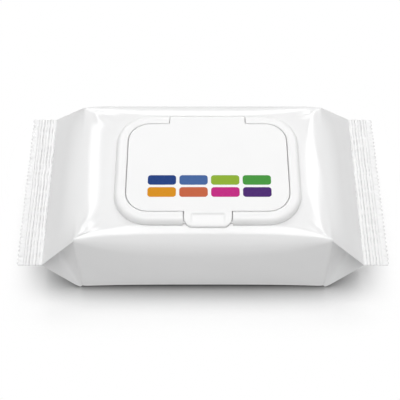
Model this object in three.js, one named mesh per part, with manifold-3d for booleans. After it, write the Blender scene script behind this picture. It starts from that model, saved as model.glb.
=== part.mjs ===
// Wet wipes pack: a flow-wrapped film pouch with a moulded flip lid on its top panel.
// Millimetres, +X along the pack, -Y towards the thumb tab, +Z up, bottom centre at the origin.

import * as THREE from "three";
import Module from "manifold-3d";
import { mergeVertices } from "three/addons/utils/BufferGeometryUtils.js";

const wasm = await Module();
wasm.setup();

// Film pouch. Lengths run along X, widths along Y.
const film = 0.15;
const topLength = 156.5;
const footSpread = 1.75;
const bodyWidth = 104;
const bodyHeight = 58.5;
const cornerDrop = 1.5;
const endSlope = 22.75;
const sideBulge = 3;
const topEdgeRadius = 9;
const bottomEdgeRadius = 4;
const cornerRadius = 1.5;
const endBelly = 2.4;
const gussetFlare = 2.4;

// Crimped end seals: four film layers pressed together, ridged, with a saw-cut outer edge.
const sealLength = 14;
const sealFlare = 5.3;
const sealHeight = 37;
const tuckSlit = 0.1;
const ridgeCount = 5;
const ridgePitch = 2;
const ridgeDepth = 0.7;
const toothPitch = 3;
const toothDepth = 1;

// Back seam along the underside, folded flat.
const seamWidth = 12;
const seamGroove = 0.4;
const seamEndGap = 0.25;

// Folded wipes inside the pouch: the stack, and the uppermost wipe lying folded on it.
const stackEndGap = 4.25;
const stackSideGap = 2.35;
const stackTopGap = 1.6;
const stackBottomGap = 0.3;
const stackEndRound = 18;
const stackEndDrop = 6;
const stackEdgeRound = 7;
const wipe = 0.4;
const wipeGap = 0.3;
const wipeSideGap = 3;
const wipeFoldEdge = 8;

// Die-cut mouth in the film, under the lid.
const mouthLength = 66;
const mouthWidth = 30;

// Moulded cap: frame, lid and the hinge between them. The cap sits a little off the middle of the pack.
const capX = 3;
const capY = -0.3;
const flatMargin = 0.8;
const glue = 0.3;
const lidLength = 101;
const lidWidth = 67.4;
const lidCorner = 13.9;
const lidGap = 0.5;
const rimWidth = 7.2;
const rimHeight = 4.6;
const rimInnerHeight = 3.8;
const rimCrest = 2.6;
const wall = 1;
const floorThickness = 0.9;
const frameMouthLength = 84;
const frameMouthWidth = 48;
const frameMouthCorner = 18;
const lipClearance = 0.3;
const lidThickness = 1.2;
const lidTop = 4.1;
const lidEdgeRound = 0.3;
const plugClearance = 0.35;
const plugThickness = 0.9;
const plugDepth = 1.7;
const skirtThickness = 0.9;
const skirtDepth = 1;
const thumbTabWidth = 29.3;
const thumbTabReach = 2.4;
const thumbTabCorner = 4;
const thumbTabDroop = 1.8;
const thumbTabTip = 1;
const scoopWidth = 21.3;
const scoopDepth = 0.6;
const hingeTabWidth = 48.4;
const hingeFillet = 2;
const tabGap = 0.6;
const webThickness = 0.35;
const webReach = 0.8;
const webSplit = 0.15;
const hingeWallGap = 0.5;
const hingeWallDrop = 0.1;
const cornerSteps = 8;

// Heights and lengths that follow from the sizes above.
const sealStart = topLength / 2 + endSlope;
const packEnd = sealStart + sealLength;
const sealSpan = bodyWidth + 2 * sealFlare;
const sealThickness = 4 * film + tuckSlit;
const bottomLength = topLength + 2 * footSpread;
const seamLength = topLength - 2 * seamEndGap;
const stackLength = topLength - 2 * stackEndGap;
const stackWidth = bodyWidth - 2 * (film + stackSideGap);
const wipeTop = bodyHeight - film - stackTopGap;
const stackTop = wipeTop - 2 * wipe - wipeGap;
const baseZ = bodyHeight + glue;
const lidTopZ = baseZ + lidTop;
const lidUnderZ = lidTopZ - lidThickness;
const openingLength = lidLength + 2 * lidGap;
const openingWidth = lidWidth + 2 * lidGap;
const openingCorner = lidCorner + lidGap;
const capRear = capY + openingWidth / 2 + rimWidth;
const capFront = capY - openingWidth / 2 - rimWidth;
const flatTopLength = openingLength + 2 * (rimWidth + Math.abs(capX) + flatMargin);
const hingeY = capRear - wall - hingeWallGap;
const hingeZ = lidTopZ - webThickness / 2;

const lerp = THREE.MathUtils.lerp;

/** Turns a closed geometry into a solid. */
function solid(geometry) {
  const bare = geometry.clone();
  bare.deleteAttribute("normal");
  bare.deleteAttribute("uv");
  const merged = mergeVertices(bare, 1e-4);
  const corners = Array.from(merged.index.array);
  const kept = [];
  for (let i = 0; i < corners.length; i += 3) {
    const [a, b, c] = corners.slice(i, i + 3);
    if (a !== b && b !== c && c !== a) {
      kept.push(a, b, c);
    }
  }
  return new wasm.Manifold(
    new wasm.Mesh({
      numProp: 3,
      vertProperties: new Float32Array(merged.attributes.position.array),
      triVerts: new Uint32Array(kept),
    }),
  );
}

/** Turns a solid back into a mesh with its name and material. */
function piece(name, body, material) {
  const mesh = body.getMesh();
  const geometry = new THREE.BufferGeometry();
  geometry.setAttribute("position", new THREE.BufferAttribute(new Float32Array(mesh.vertProperties), 3));
  geometry.setIndex(new THREE.BufferAttribute(new Uint32Array(mesh.triVerts), 1));
  geometry.computeVertexNormals();
  const out = new THREE.Mesh(geometry, material);
  out.name = name;
  return out;
}

/** A plan outline carried up from z0 to z1, its edges rounded by soft. */
function prism(shape, z0, z1, soft = 0) {
  const geometry = new THREE.ExtrudeGeometry(shape, {
    depth: z1 - z0 - 2 * soft,
    bevelEnabled: soft > 0,
    bevelThickness: soft,
    bevelSize: soft,
    bevelOffset: -soft,
    bevelSegments: 2,
    curveSegments: cornerSteps / 2,
  });
  geometry.translate(0, 0, z0 + soft);
  return solid(geometry);
}

/** A side outline in Y and Z carried along X from x0 to x1. */
function bar(shape, x0, x1, soft = 0) {
  const geometry = new THREE.ExtrudeGeometry(shape, {
    depth: x1 - x0 - 2 * soft,
    bevelEnabled: soft > 0,
    bevelThickness: soft,
    bevelSize: soft,
    bevelOffset: -soft,
    bevelSegments: 4,
    curveSegments: cornerSteps / 2,
  });
  geometry.translate(0, 0, x0 + soft);
  const turn = new THREE.Matrix4();
  turn.makeBasis(new THREE.Vector3(0, 1, 0), new THREE.Vector3(0, 0, 1), new THREE.Vector3(1, 0, 0));
  geometry.applyMatrix4(turn);
  return solid(geometry);
}

/** A closed outline through the given points. */
function polygon(points) {
  return new THREE.Shape(points.map(([a, b]) => new THREE.Vector2(a, b)));
}

/** A rectangle with rounded corners, given by its middle and its sizes. */
function roundedRect(cx, cy, length, width, radius) {
  const shape = new THREE.Shape();
  const a = length / 2 - radius;
  const b = width / 2 - radius;
  shape.absarc(cx + a, cy - b, radius, -Math.PI / 2, 0);
  shape.absarc(cx + a, cy + b, radius, 0, Math.PI / 2);
  shape.absarc(cx - a, cy + b, radius, Math.PI / 2, Math.PI);
  shape.absarc(cx - a, cy - b, radius, Math.PI, 1.5 * Math.PI);
  shape.closePath();
  return shape;
}

/** Skins a row of closed loops, each with the same number of points, and caps both ends. */
function loft(loops) {
  const count = loops[0].length;
  const points = loops.flat();
  const triangles = [];
  for (let i = 0; i + 1 < loops.length; i += 1) {
    for (let j = 0; j < count; j += 1) {
      const a = i * count + j;
      const b = i * count + ((j + 1) % count);
      triangles.push(a, b, a + count, b, b + count, a + count);
    }
  }
  const flat = (loop) => loop.map(([, y, z]) => new THREE.Vector2(y, z));
  const last = (loops.length - 1) * count;
  for (const [a, b, c] of THREE.ShapeUtils.triangulateShape(flat(loops[0]), [])) {
    triangles.push(a, c, b);
  }
  for (const [a, b, c] of THREE.ShapeUtils.triangulateShape(flat(loops[loops.length - 1]), [])) {
    triangles.push(last + a, last + b, last + c);
  }
  const geometry = new THREE.BufferGeometry();
  geometry.setAttribute("position", new THREE.Float32BufferAttribute(points.flat(), 3));
  geometry.setIndex(triangles);
  return solid(geometry);
}

/** Carries a closed profile (distance outward, height) round a rounded rectangle. */
function ring(length, width, radius, profile) {
  const centres = [
    [length / 2 - radius, width / 2 - radius, 0],
    [radius - length / 2, width / 2 - radius, 1],
    [radius - length / 2, radius - width / 2, 2],
    [length / 2 - radius, radius - width / 2, 3],
  ];
  const stations = [];
  for (const [x, y, quarter] of centres) {
    for (let i = 0; i <= cornerSteps; i += 1) {
      const angle = ((quarter + i / cornerSteps) * Math.PI) / 2;
      stations.push([capX + x, capY + y, Math.cos(angle), Math.sin(angle)]);
    }
  }
  const points = [];
  for (const [x, y, dx, dy] of stations) {
    for (const [out, z] of profile) {
      points.push(x + (radius + out) * dx, y + (radius + out) * dy, z);
    }
  }
  const n = profile.length;
  const triangles = [];
  for (let i = 0; i < stations.length; i += 1) {
    const next = (i + 1) % stations.length;
    for (let j = 0; j < n; j += 1) {
      const k = (j + 1) % n;
      triangles.push(i * n + j, next * n + j, i * n + k);
      triangles.push(next * n + j, next * n + k, i * n + k);
    }
  }
  const geometry = new THREE.BufferGeometry();
  geometry.setAttribute("position", new THREE.Float32BufferAttribute(points, 3));
  geometry.setIndex(triangles);
  return solid(geometry);
}

// How far along the end slope a station lies, from the folded corner (0) to the seal (1).
const topSlope = (x) =>
  THREE.MathUtils.clamp((Math.abs(x) - topLength / 2) / (sealStart - topLength / 2), 0, 1);
const bottomSlope = (x) =>
  THREE.MathUtils.clamp((Math.abs(x) - bottomLength / 2) / (sealStart - bottomLength / 2), 0, 1);

// Film that the narrow flat seal does not use is tucked in as the gusset.
const tuck = (bodyWidth + bodyHeight - cornerDrop - sealSpan) / 2;

/** Heights of the film at a station: the top in the middle and along its folded edges, and the bottom. */
function heights(x) {
  const past = Math.max(0, Math.abs(x) - flatTopLength / 2);
  const toSeal = past / (sealStart - flatTopLength / 2);
  const toCorner = Math.min(1, past / (topLength / 2 - flatTopLength / 2));
  const sealTop = sealHeight + sealThickness / 2;
  const sealBottom = sealHeight - sealThickness / 2;
  return {
    topMiddle: lerp(bodyHeight, sealTop, toSeal ** endBelly),
    topEdge: lerp(bodyHeight - cornerDrop * toCorner ** 2, sealTop, topSlope(x)),
    bottom: lerp(0, sealBottom, bottomSlope(x)),
  };
}

const across = [0, 0.35, 0.65, 0.88, 1];
const arcSteps = [0, 30, 60, 90].map((angle) => (angle * Math.PI) / 180);
const sideSteps = [0.25, 0.5, 0.75];
const gussetFoot = [0.86, 0.94];

/** Half of a body section, from the middle of the top to the middle of the bottom. */
function bodyHalf(x, inset) {
  const h = heights(x);
  const swell = 1 - Math.abs(x / (topLength / 2)) ** 3;
  const shoulder = bodyWidth / 2 + 0.6 * sideBulge * swell - inset;
  const belly = bodyWidth / 2 + sideBulge * swell - inset;
  const foot = bodyWidth / 2 - inset;
  const topRadius = lerp(cornerRadius, topEdgeRadius, swell) - inset;
  const footRadius = lerp(cornerRadius, bottomEdgeRadius, swell) - inset;
  const top = (f) => lerp(h.topMiddle, h.topEdge, f * f) - inset;
  const points = across.map((f) => [f * (shoulder - topRadius), top(f)]);
  for (const a of arcSteps.slice(1)) {
    points.push([shoulder - topRadius * (1 - Math.sin(a)), top(1) - topRadius * (1 - Math.cos(a))]);
  }
  const upper = top(1) - topRadius;
  const lower = inset + footRadius;
  for (const f of sideSteps) {
    const straight = lerp(shoulder, foot, f);
    points.push([straight + (belly - straight) * Math.sin(Math.PI * f), lerp(upper, lower, f)]);
  }
  for (const a of arcSteps.slice(0, 3)) {
    points.push([foot - footRadius * (1 - Math.cos(a)), lower - footRadius * Math.sin(a)]);
  }
  for (const f of across.slice().reverse()) {
    points.push([f * (foot - footRadius), inset]);
  }
  return points;
}

/** The gusset at a station: its limits, and its points from the crease under the wing to the bottom edge. */
function gusset(x) {
  const h = heights(x);
  const edge = lerp(bodyWidth / 2, sealSpan / 2, topSlope(x));
  const crease = lerp(bodyWidth / 2, sealSpan / 2 - tuck, topSlope(x));
  const upper = h.topEdge - 2 * film;
  const lower = h.bottom + 2 * film;
  const point = (f) => [lerp(crease, edge, f ** gussetFlare), lerp(upper, lower, f)];
  const lean = (f) => ((edge - crease) * gussetFlare * f ** (gussetFlare - 1)) / (upper - lower);
  return { edge, crease, upper, lower, point, lean };
}

/** Half of an end section: the top panel's wing, then the gusset tucked in under it. */
function endHalf(x) {
  const h = heights(x);
  const { edge, crease, upper, lower, point } = gusset(x);
  const points = across.map((f) => [f * edge, lerp(h.topMiddle, h.topEdge, f * f)]);
  points.push([edge, upper], [(edge + crease) / 2, upper], [crease, upper]);
  points.push(...sideSteps.map(point), ...gussetFoot.map(point), [edge, lower]);
  for (const f of across.slice().reverse()) {
    points.push([f * edge, h.bottom]);
  }
  return points;
}

/** Half of the hollow inside an end section, one film thickness within the tucked-in gusset. */
function endHollowHalf(x) {
  const h = heights(x);
  const { edge, crease, upper, lower, point, lean } = gusset(x);
  const steepest = (endBelly * (bodyHeight - sealHeight)) / (sealStart - flatTopLength / 2);
  const topSkin = 1.2 * film * Math.hypot(1, steepest);
  const bottomSkin = 1.2 * film * Math.hypot(1, sealHeight / (endSlope - footSpread));
  const radius = Math.min(cornerRadius - film, (upper - lower) / 8);
  const top = (y) => lerp(h.topMiddle, h.topEdge, (y / edge) ** 2) - topSkin;
  const flat = crease - film - radius;
  const within = (f) => [point(f)[0] - 1.5 * film * Math.hypot(1, lean(f)), point(f)[1]];
  const bottom = h.bottom + bottomSkin;
  const [foot, ankle] = within(gussetFoot[1]);
  const points = across.map((f) => [f * flat, top(f * flat)]);
  for (const a of arcSteps.slice(1)) {
    points.push([flat + radius * Math.sin(a), top(flat) - radius * (1 - Math.cos(a))]);
  }
  points.push(...sideSteps.map(within), ...gussetFoot.map(within), [foot, (ankle + bottom) / 2]);
  for (const f of across.slice().reverse()) {
    points.push([f * foot, bottom]);
  }
  return points;
}

/** Mirrors a half section front to back and places it at its station. */
function section(x, half) {
  const back = half.map(([y, z]) => [x, y, z]);
  const front = half
    .slice(1, -1)
    .reverse()
    .map(([y, z]) => [x, -y, z]);
  return back.concat(front).reverse();
}

const bodyStations = [0, 0.355, 0.645, 0.855, 1].map((f) => (f * flatTopLength) / 2);
bodyStations.push(...[0.37, 0.74, 1].map((f) => lerp(flatTopLength / 2, topLength / 2, f)));
const endStations = [0.08, 0.25, 0.45, 0.65, 0.83, 0.92, 1].map((s) => lerp(topLength / 2, sealStart, s));
const hollowEndStations = endStations.slice(0, -1);

/** Lists the stations on both sides of the middle, in order, and makes a section at each. */
function sections(bodyMaker, ends, endMaker) {
  const plus = bodyStations
    .map((x) => [x, bodyMaker])
    .concat(ends.map((x) => [x, endMaker]));
  const minus = plus
    .slice(1)
    .reverse()
    .map(([x, make]) => [-x, make]);
  return minus.concat(plus).map(([x, make]) => section(x, make(x)));
}

/** One crimped seal: a ridged strip with a flat outer band, saw-cut along its edge. */
function crimpedSeal(side) {
  const half = sealThickness / 2;
  const middle = [[sealStart - 0.3, 0]];
  for (let i = 0; i < ridgeCount; i += 1) {
    const start = sealStart + 0.4 + i * ridgePitch;
    middle.push([start, 0]);
    middle.push([start + ridgePitch / 4, ridgeDepth / 2]);
    middle.push([start + (3 * ridgePitch) / 4, -ridgeDepth / 2]);
  }
  middle.push([sealStart + 0.4 + ridgeCount * ridgePitch, 0], [packEnd + 0.2, 0]);
  const upper = middle.map(([x, z]) => [x, sealHeight + z + half]);
  const lower = middle.map(([x, z]) => [x, sealHeight + z - half]).reverse();
  const geometry = new THREE.ExtrudeGeometry(polygon(lower.reverse().concat(upper.reverse())), {
    depth: sealSpan,
    bevelEnabled: false,
  });
  geometry.rotateX(Math.PI / 2);
  geometry.translate(0, sealSpan / 2, 0);
  const strip = solid(geometry);
  const teeth = Math.round(sealSpan / toothPitch);
  const pitch = sealSpan / teeth;
  const saw = [];
  for (let i = 0; i <= teeth; i += 1) {
    const y = i * pitch - sealSpan / 2;
    saw.push([packEnd - toothDepth, y]);
    if (i < teeth) {
      saw.push([packEnd, y + pitch / 2]);
    }
  }
  const outer = packEnd + 1;
  saw[0][1] -= 0.5;
  saw[saw.length - 1][1] += 0.5;
  const cutter = prism(
    polygon([[outer, saw[0][1]], [outer, saw[saw.length - 1][1]], ...saw.slice().reverse()]),
    sealHeight - 3,
    sealHeight + 3,
  );
  const cut = strip.subtract(cutter);
  return side > 0 ? cut : cut.rotate([0, 0, 180]);
}

/** The film pouch with its hollow, seals, back seam and dispensing mouth. */
function makePouch() {
  const outside = loft(sections((x) => bodyHalf(x, 0), endStations, endHalf));
  const inside = loft(sections((x) => bodyHalf(x, film), hollowEndStations, endHollowHalf));
  const seamHalf = seamLength / 2;
  const seam = prism(
    polygon([
      [-seamHalf, -seamWidth / 2],
      [seamHalf, -seamWidth / 2],
      [seamHalf, seamWidth / 2 + 2 * seamGroove],
      [-seamHalf, seamWidth / 2 + 2 * seamGroove],
    ]),
    0,
    3 * film,
  );
  const groove = prism(
    polygon([
      [-seamHalf + 1, seamWidth / 2],
      [seamHalf - 1, seamWidth / 2],
      [seamHalf - 1, seamWidth / 2 + seamGroove],
      [-seamHalf + 1, seamWidth / 2 + seamGroove],
    ]),
    -1,
    2 * film,
  );
  const mouth = prism(
    roundedRect(capX, capY, mouthLength, mouthWidth, mouthWidth / 2 - 0.5),
    bodyHeight - 1,
    bodyHeight + 1,
  );
  return outside
    .subtract(inside)
    .add(seam)
    .subtract(groove)
    .add(crimpedSeal(1))
    .add(crimpedSeal(-1))
    .subtract(mouth);
}

/** A side outline in X and Z carried along Y from y0 to y1, its ends rounded by soft, inwards by inset. */
function acrossBar(shape, y0, y1, soft, inset) {
  const geometry = new THREE.ExtrudeGeometry(shape, {
    depth: y1 - y0 - 2 * soft,
    bevelEnabled: soft > 0,
    bevelThickness: soft,
    bevelSize: inset,
    bevelOffset: -inset,
    bevelSegments: 3,
    curveSegments: 3,
  });
  geometry.rotateX(Math.PI / 2);
  geometry.translate(0, y1 - soft, 0);
  return solid(geometry);
}

/** The stack of folded wipes, its upper ends pressed round by the film. */
function makeStack() {
  const shape = new THREE.Shape();
  const end = stackLength / 2;
  const bottom = 3 * film + stackBottomGap;
  const foot = 4;
  const crown = stackTop - stackEndDrop;
  shape.absarc(end - foot, bottom + foot, foot, -Math.PI / 2, 0);
  shape.absellipse(end - stackEndRound, crown, stackEndRound, stackEndDrop, 0, Math.PI / 2);
  shape.absellipse(stackEndRound - end, crown, stackEndRound, stackEndDrop, Math.PI / 2, Math.PI);
  shape.absarc(foot - end, bottom + foot, foot, Math.PI, 1.5 * Math.PI);
  shape.closePath();
  return acrossBar(shape, -stackWidth / 2, stackWidth / 2, stackEdgeRound, 2.5);
}

/** Layers of the uppermost wipe between two heights over the stack, bent down over its rounded ends. */
function wipeLayer(from, to, y0, y1, low) {
  const shape = new THREE.Shape();
  const end = stackLength / 2 - stackEndRound;
  const crown = stackTop - stackEndDrop;
  const arc = (x, lift, a, b, back) =>
    shape.absellipse(x, crown, stackEndRound + lift, stackEndDrop + lift, a, b, back);
  arc(end, to, low, Math.PI / 2, false);
  arc(-end, to, Math.PI / 2, Math.PI - low, false);
  arc(-end, from, Math.PI - low, Math.PI / 2, true);
  arc(end, from, Math.PI / 2, low, true);
  shape.closePath();
  return acrossBar(shape, y0, y1, 0, 0);
}

/** The uppermost wipe, folded back on itself so that its free edge lies under the mouth. */
function makeTopWipe() {
  const side = stackWidth / 2 - wipeSideGap;
  const bend = Math.PI / 4;
  const folded = wipeLayer(wipeGap, wipeGap + 2 * wipe, -side, side, bend);
  const bare = wipeLayer(wipeGap + wipe, wipeGap + 6 * wipe, wipeFoldEdge, side + 1, 0.8 * bend);
  return folded.subtract(bare);
}

/** The bond between the frame's floor and the film. */
function makeGlue() {
  const shape = roundedRect(capX, capY, openingLength - 2, openingWidth - 2, openingCorner - 1);
  const margin = 3;
  shape.holes.push(
    roundedRect(capX, capY, frameMouthLength + margin, frameMouthWidth + margin, frameMouthCorner + margin / 2),
  );
  return prism(shape, bodyHeight, baseZ);
}

/** Profile of the rim: a soft bead with an even wall, open underneath. */
function rimProfile() {
  const shape = new THREE.Shape();
  const side = rimWidth - rimCrest;
  const shoulder = rimHeight - rimInnerHeight;
  const inside = baseZ + rimInnerHeight - wall;
  shape.moveTo(0, baseZ);
  shape.lineTo(wall, baseZ);
  shape.lineTo(wall, inside);
  shape.absellipse(rimCrest, inside, rimCrest - wall, shoulder, Math.PI, Math.PI / 2, true);
  shape.absellipse(rimCrest, baseZ, side - wall, rimHeight - wall, Math.PI / 2, 0, true);
  shape.lineTo(rimWidth, baseZ);
  shape.absellipse(rimCrest, baseZ, side, rimHeight, 0, Math.PI / 2);
  shape.absellipse(rimCrest, baseZ + rimInnerHeight, rimCrest, shoulder, Math.PI / 2, Math.PI);
  const points = shape.getPoints(2).map((p) => [p.x, p.y]);
  return points.filter(([a, b], i) => {
    const [c, d] = points[(i + 1) % points.length];
    return Math.hypot(a - c, b - d) > 1e-4;
  });
}

/** A box by its limits. */
function block(x0, x1, y0, y1, z0, z1) {
  return prism(
    polygon([
      [x0, y0],
      [x1, y0],
      [x1, y1],
      [x0, y1],
    ]),
    z0,
    z1,
  );
}

/** The plan of a hollow fillet, filling the corner at a point on the side given. */
function fillet(x, y, side, radius) {
  const shape = new THREE.Shape();
  const turn = side > 0;
  shape.moveTo(x - 0.5 * side, y - 0.5);
  shape.lineTo(x + radius * side, y - 0.5);
  shape.absarc(x + radius * side, y + radius, radius, -Math.PI / 2, turn ? -Math.PI : 0, turn);
  shape.lineTo(x - 0.5 * side, y + radius);
  shape.closePath();
  return shape;
}

/** The frame: floor with its mouth and sealing lip, bead rim, front notch and rear hinge wall. */
function makeFrame() {
  const floorCorner = openingCorner + wall / 2;
  const floorShape = roundedRect(capX, capY, openingLength + wall, openingWidth + wall, floorCorner);
  floorShape.holes.push(roundedRect(capX, capY, frameMouthLength, frameMouthWidth, frameMouthCorner));
  const floorTop = baseZ + floorThickness;
  const floor = prism(floorShape, baseZ, floorTop);
  const lipTop = lidUnderZ - lipClearance;
  const lip = ring(frameMouthLength, frameMouthWidth, frameMouthCorner, [
    [0, baseZ],
    [wall, baseZ],
    [wall, lipTop - 0.3],
    [wall - 0.3, lipTop],
    [0, lipTop],
  ]);
  const rim = ring(openingLength, openingWidth, openingCorner, rimProfile());
  const thumbHalf = thumbTabWidth / 2 + tabGap;
  const hingeHalf = hingeTabWidth / 2 + tabGap;
  const inFront = capY - openingWidth / 2;
  const inRear = capY + openingWidth / 2;
  const frontNotch = block(capX - thumbHalf, capX + thumbHalf, capFront - 1, inFront + 1, floorTop, baseZ + 9);
  const rearNotch = block(capX - hingeHalf, capX + hingeHalf, inRear - 1, capRear + 1, floorTop, baseZ + 9);
  const frontSill = block(
    capX - thumbHalf - wall,
    capX + thumbHalf + wall,
    capFront + 0.2,
    inFront + 0.5,
    baseZ,
    floorTop,
  );
  const rearSill = block(
    capX - hingeHalf - wall,
    capX + hingeHalf + wall,
    inRear - 0.5,
    capRear - 0.1,
    baseZ,
    floorTop,
  );
  const rearWall = bar(
    polygon([
      [capRear - wall, baseZ],
      [capRear, baseZ],
      [capRear, hingeZ - hingeWallDrop - 0.6],
      [capRear - 0.5, hingeZ - hingeWallDrop],
      [capRear - wall, hingeZ - hingeWallDrop],
    ]),
    capX - hingeHalf + tabGap,
    capX + hingeHalf - tabGap,
  );
  const ends = [];
  for (const x of [capX - thumbHalf - wall, capX + thumbHalf]) {
    ends.push(block(x, x + wall, capFront, inFront, baseZ, baseZ + 9));
  }
  for (const x of [capX - hingeHalf - wall, capX + hingeHalf]) {
    ends.push(block(x, x + wall, inRear, capRear, baseZ, baseZ + 9));
  }
  const outline = ring(openingLength, openingWidth, openingCorner, solidRimProfile());
  let frame = floor.add(lip).add(rim);
  for (const end of ends) {
    frame = frame.add(outline.intersect(end));
  }
  const eased = hingeFillet - tabGap;
  frame = frame.subtract(frontNotch).subtract(rearNotch);
  for (const side of [-1, 1]) {
    const corner = fillet(capX + side * hingeHalf, inRear, side, eased);
    frame = frame.subtract(prism(corner, floorTop, baseZ + 9));
  }
  return frame
    .add(frontSill)
    .add(rearSill)
    .add(rearWall);
}

/** The rim's outside alone, for the walls that close the bead beside each notch. */
function solidRimProfile() {
  const shape = new THREE.Shape();
  const shoulder = rimHeight - rimInnerHeight;
  shape.moveTo(0, baseZ);
  shape.lineTo(rimWidth, baseZ);
  shape.absellipse(rimCrest, baseZ, rimWidth - rimCrest, rimHeight, 0, Math.PI / 2);
  shape.absellipse(rimCrest, baseZ + rimInnerHeight, rimCrest, shoulder, Math.PI / 2, Math.PI);
  const points = shape.getPoints(2).map((p) => [p.x, p.y]);
  return points.filter(([a, b], i) => {
    const [c, d] = points[(i + 1) % points.length];
    return Math.hypot(a - c, b - d) > 1e-4;
  });
}

/** The lid: panel, hinge tab and drooping thumb tab in one, with the plug rib underneath. */
function makeLid() {
  const panelFront = capY - lidWidth / 2;
  const tabFront = capFront - thumbTabReach;
  const under = lidUnderZ;
  const panel = prism(
    roundedRect(capX, capY, lidLength, lidWidth, lidCorner),
    under,
    lidTopZ,
    lidEdgeRound,
  );
  const tabDepth = panelFront - tabFront + 6;
  const tabPlan = prism(
    roundedRect(capX, tabFront + tabDepth / 2, thumbTabWidth, tabDepth, thumbTabCorner),
    baseZ,
    lidTopZ + 1,
  );
  const tabShape = new THREE.Shape();
  const tip = lidTopZ - thumbTabDroop;
  tabShape.moveTo(panelFront + 3, under);
  tabShape.lineTo(panelFront, under);
  tabShape.quadraticCurveTo(tabFront + 3, under, tabFront, tip - thumbTabTip);
  tabShape.lineTo(tabFront, tip - thumbTabTip / 2);
  tabShape.quadraticCurveTo(tabFront, tip, tabFront + thumbTabTip / 2, tip + 0.1);
  tabShape.quadraticCurveTo(tabFront + 3, lidTopZ, panelFront + 0.5, lidTopZ);
  tabShape.lineTo(panelFront + 3, lidTopZ);
  const tabSide = bar(tabShape, capX - thumbTabWidth, capX + thumbTabWidth);
  const scoop = bar(
    polygon([
      [panelFront - 1.2, lidTopZ + 1],
      [panelFront - 1.2, lidTopZ - 0.25 - scoopDepth],
      [tabFront + 1.5, lidTopZ - thumbTabDroop + 0.15],
      [tabFront + 1.5, lidTopZ + 1],
    ]),
    capX - scoopWidth / 2,
    capX + scoopWidth / 2,
  );
  const hingeTab = bar(
    polygon([
      [capY + lidWidth / 2 - 3, under],
      [hingeY - webReach, under],
      [hingeY - webReach, hingeZ - webThickness / 2],
      [hingeY - webSplit, hingeZ - webThickness / 2],
      [hingeY - webSplit, hingeZ + webThickness / 2],
      [capY + lidWidth / 2 - 3, lidTopZ],
    ]),
    capX - hingeTabWidth / 2,
    capX + hingeTabWidth / 2,
  );
  const fillets = [];
  for (const side of [-1, 1]) {
    const corner = fillet(capX + (side * hingeTabWidth) / 2, capY + lidWidth / 2, side, hingeFillet);
    fillets.push(prism(corner, under + lidEdgeRound, lidTopZ));
  }
  const plugLength = frameMouthLength - 2 * (plugClearance + plugThickness);
  const plugWidth = frameMouthWidth - 2 * (plugClearance + plugThickness);
  const plug = ring(plugLength, plugWidth, frameMouthCorner - plugClearance - plugThickness, [
    [0, under - plugDepth],
    [plugThickness - 0.3, under - plugDepth],
    [plugThickness, under - plugDepth + 0.3],
    [plugThickness, under + 0.4],
    [0, under + 0.4],
  ]);
  const skirt = ring(lidLength, lidWidth, lidCorner, [
    [-skirtThickness, under - skirtDepth],
    [-lidEdgeRound, under - skirtDepth],
    [0, under - skirtDepth + lidEdgeRound],
    [0, under + lidEdgeRound],
    [-skirtThickness, under + lidThickness / 2],
  ]);
  const tab = tabPlan.intersect(tabSide);
  const plate = panel.add(skirt).add(tab).subtract(scoop).add(hingeTab);
  return plate.add(fillets[0]).add(fillets[1]).add(plug);
}

const filmMaterial = new THREE.MeshStandardMaterial({ color: "#eef0f2", roughness: 0.28, metalness: 0 });
const capMaterial = new THREE.MeshStandardMaterial({ color: "#f7f7f7", roughness: 0.42, metalness: 0 });
const wipesMaterial = new THREE.MeshStandardMaterial({ color: "#fafaf8", roughness: 0.9, metalness: 0 });
const glueMaterial = new THREE.MeshStandardMaterial({ color: "#f2ead2", roughness: 0.5, metalness: 0 });

const pack = new THREE.Group();
pack.name = "wet_wipes_pack";
pack.add(
  piece("film_pouch", makePouch(), filmMaterial),
  piece("wipes_stack", makeStack(), wipesMaterial),
  piece("top_wipe", makeTopWipe(), wipesMaterial),
  piece("adhesive_ring", makeGlue(), glueMaterial),
  piece("lid_frame", makeFrame(), capMaterial),
  piece("lid", makeLid(), capMaterial),
);

export default pack;
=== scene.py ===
"""Looks of the wet wipes pack: film pouch, crimped seals, moulded cap and folded wipes, on its frame."""

import logging
import math
from collections.abc import Callable, Sequence
from dataclasses import dataclass, field
from enum import Enum

import bmesh
import bpy
import numpy as np
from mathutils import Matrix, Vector
from mathutils.geometry import delaunay_2d_cdt


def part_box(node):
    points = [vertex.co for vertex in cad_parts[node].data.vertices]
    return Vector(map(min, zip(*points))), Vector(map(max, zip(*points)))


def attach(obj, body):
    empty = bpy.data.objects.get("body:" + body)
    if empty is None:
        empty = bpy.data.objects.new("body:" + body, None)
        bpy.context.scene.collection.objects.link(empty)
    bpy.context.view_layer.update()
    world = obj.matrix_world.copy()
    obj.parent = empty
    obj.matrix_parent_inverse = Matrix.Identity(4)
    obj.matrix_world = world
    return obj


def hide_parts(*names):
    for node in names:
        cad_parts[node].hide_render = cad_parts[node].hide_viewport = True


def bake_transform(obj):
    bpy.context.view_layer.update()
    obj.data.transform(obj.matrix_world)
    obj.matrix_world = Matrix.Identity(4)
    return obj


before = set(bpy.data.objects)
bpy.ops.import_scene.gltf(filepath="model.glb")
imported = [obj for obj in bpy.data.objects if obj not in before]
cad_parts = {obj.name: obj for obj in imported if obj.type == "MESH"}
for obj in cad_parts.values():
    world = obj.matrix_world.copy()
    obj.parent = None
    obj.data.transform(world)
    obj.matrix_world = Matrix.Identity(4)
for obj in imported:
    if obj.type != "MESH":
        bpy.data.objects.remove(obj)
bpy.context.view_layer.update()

LOG = logging.getLogger("wet_wipes_pack")
MM = 0.001
SMOOTH_ANGLE = math.radians(38)
QUARTER = math.pi / 2
WELD_REACH = 2e-6
PLAN_TOUCH = 1e-6
Number = np.ndarray | float
Plan = tuple[float, float]
Ends = tuple[float, float]
Range = tuple[float, float]
Triple = tuple[float, float, float]
Height = Callable[[np.ndarray], np.ndarray]


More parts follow.
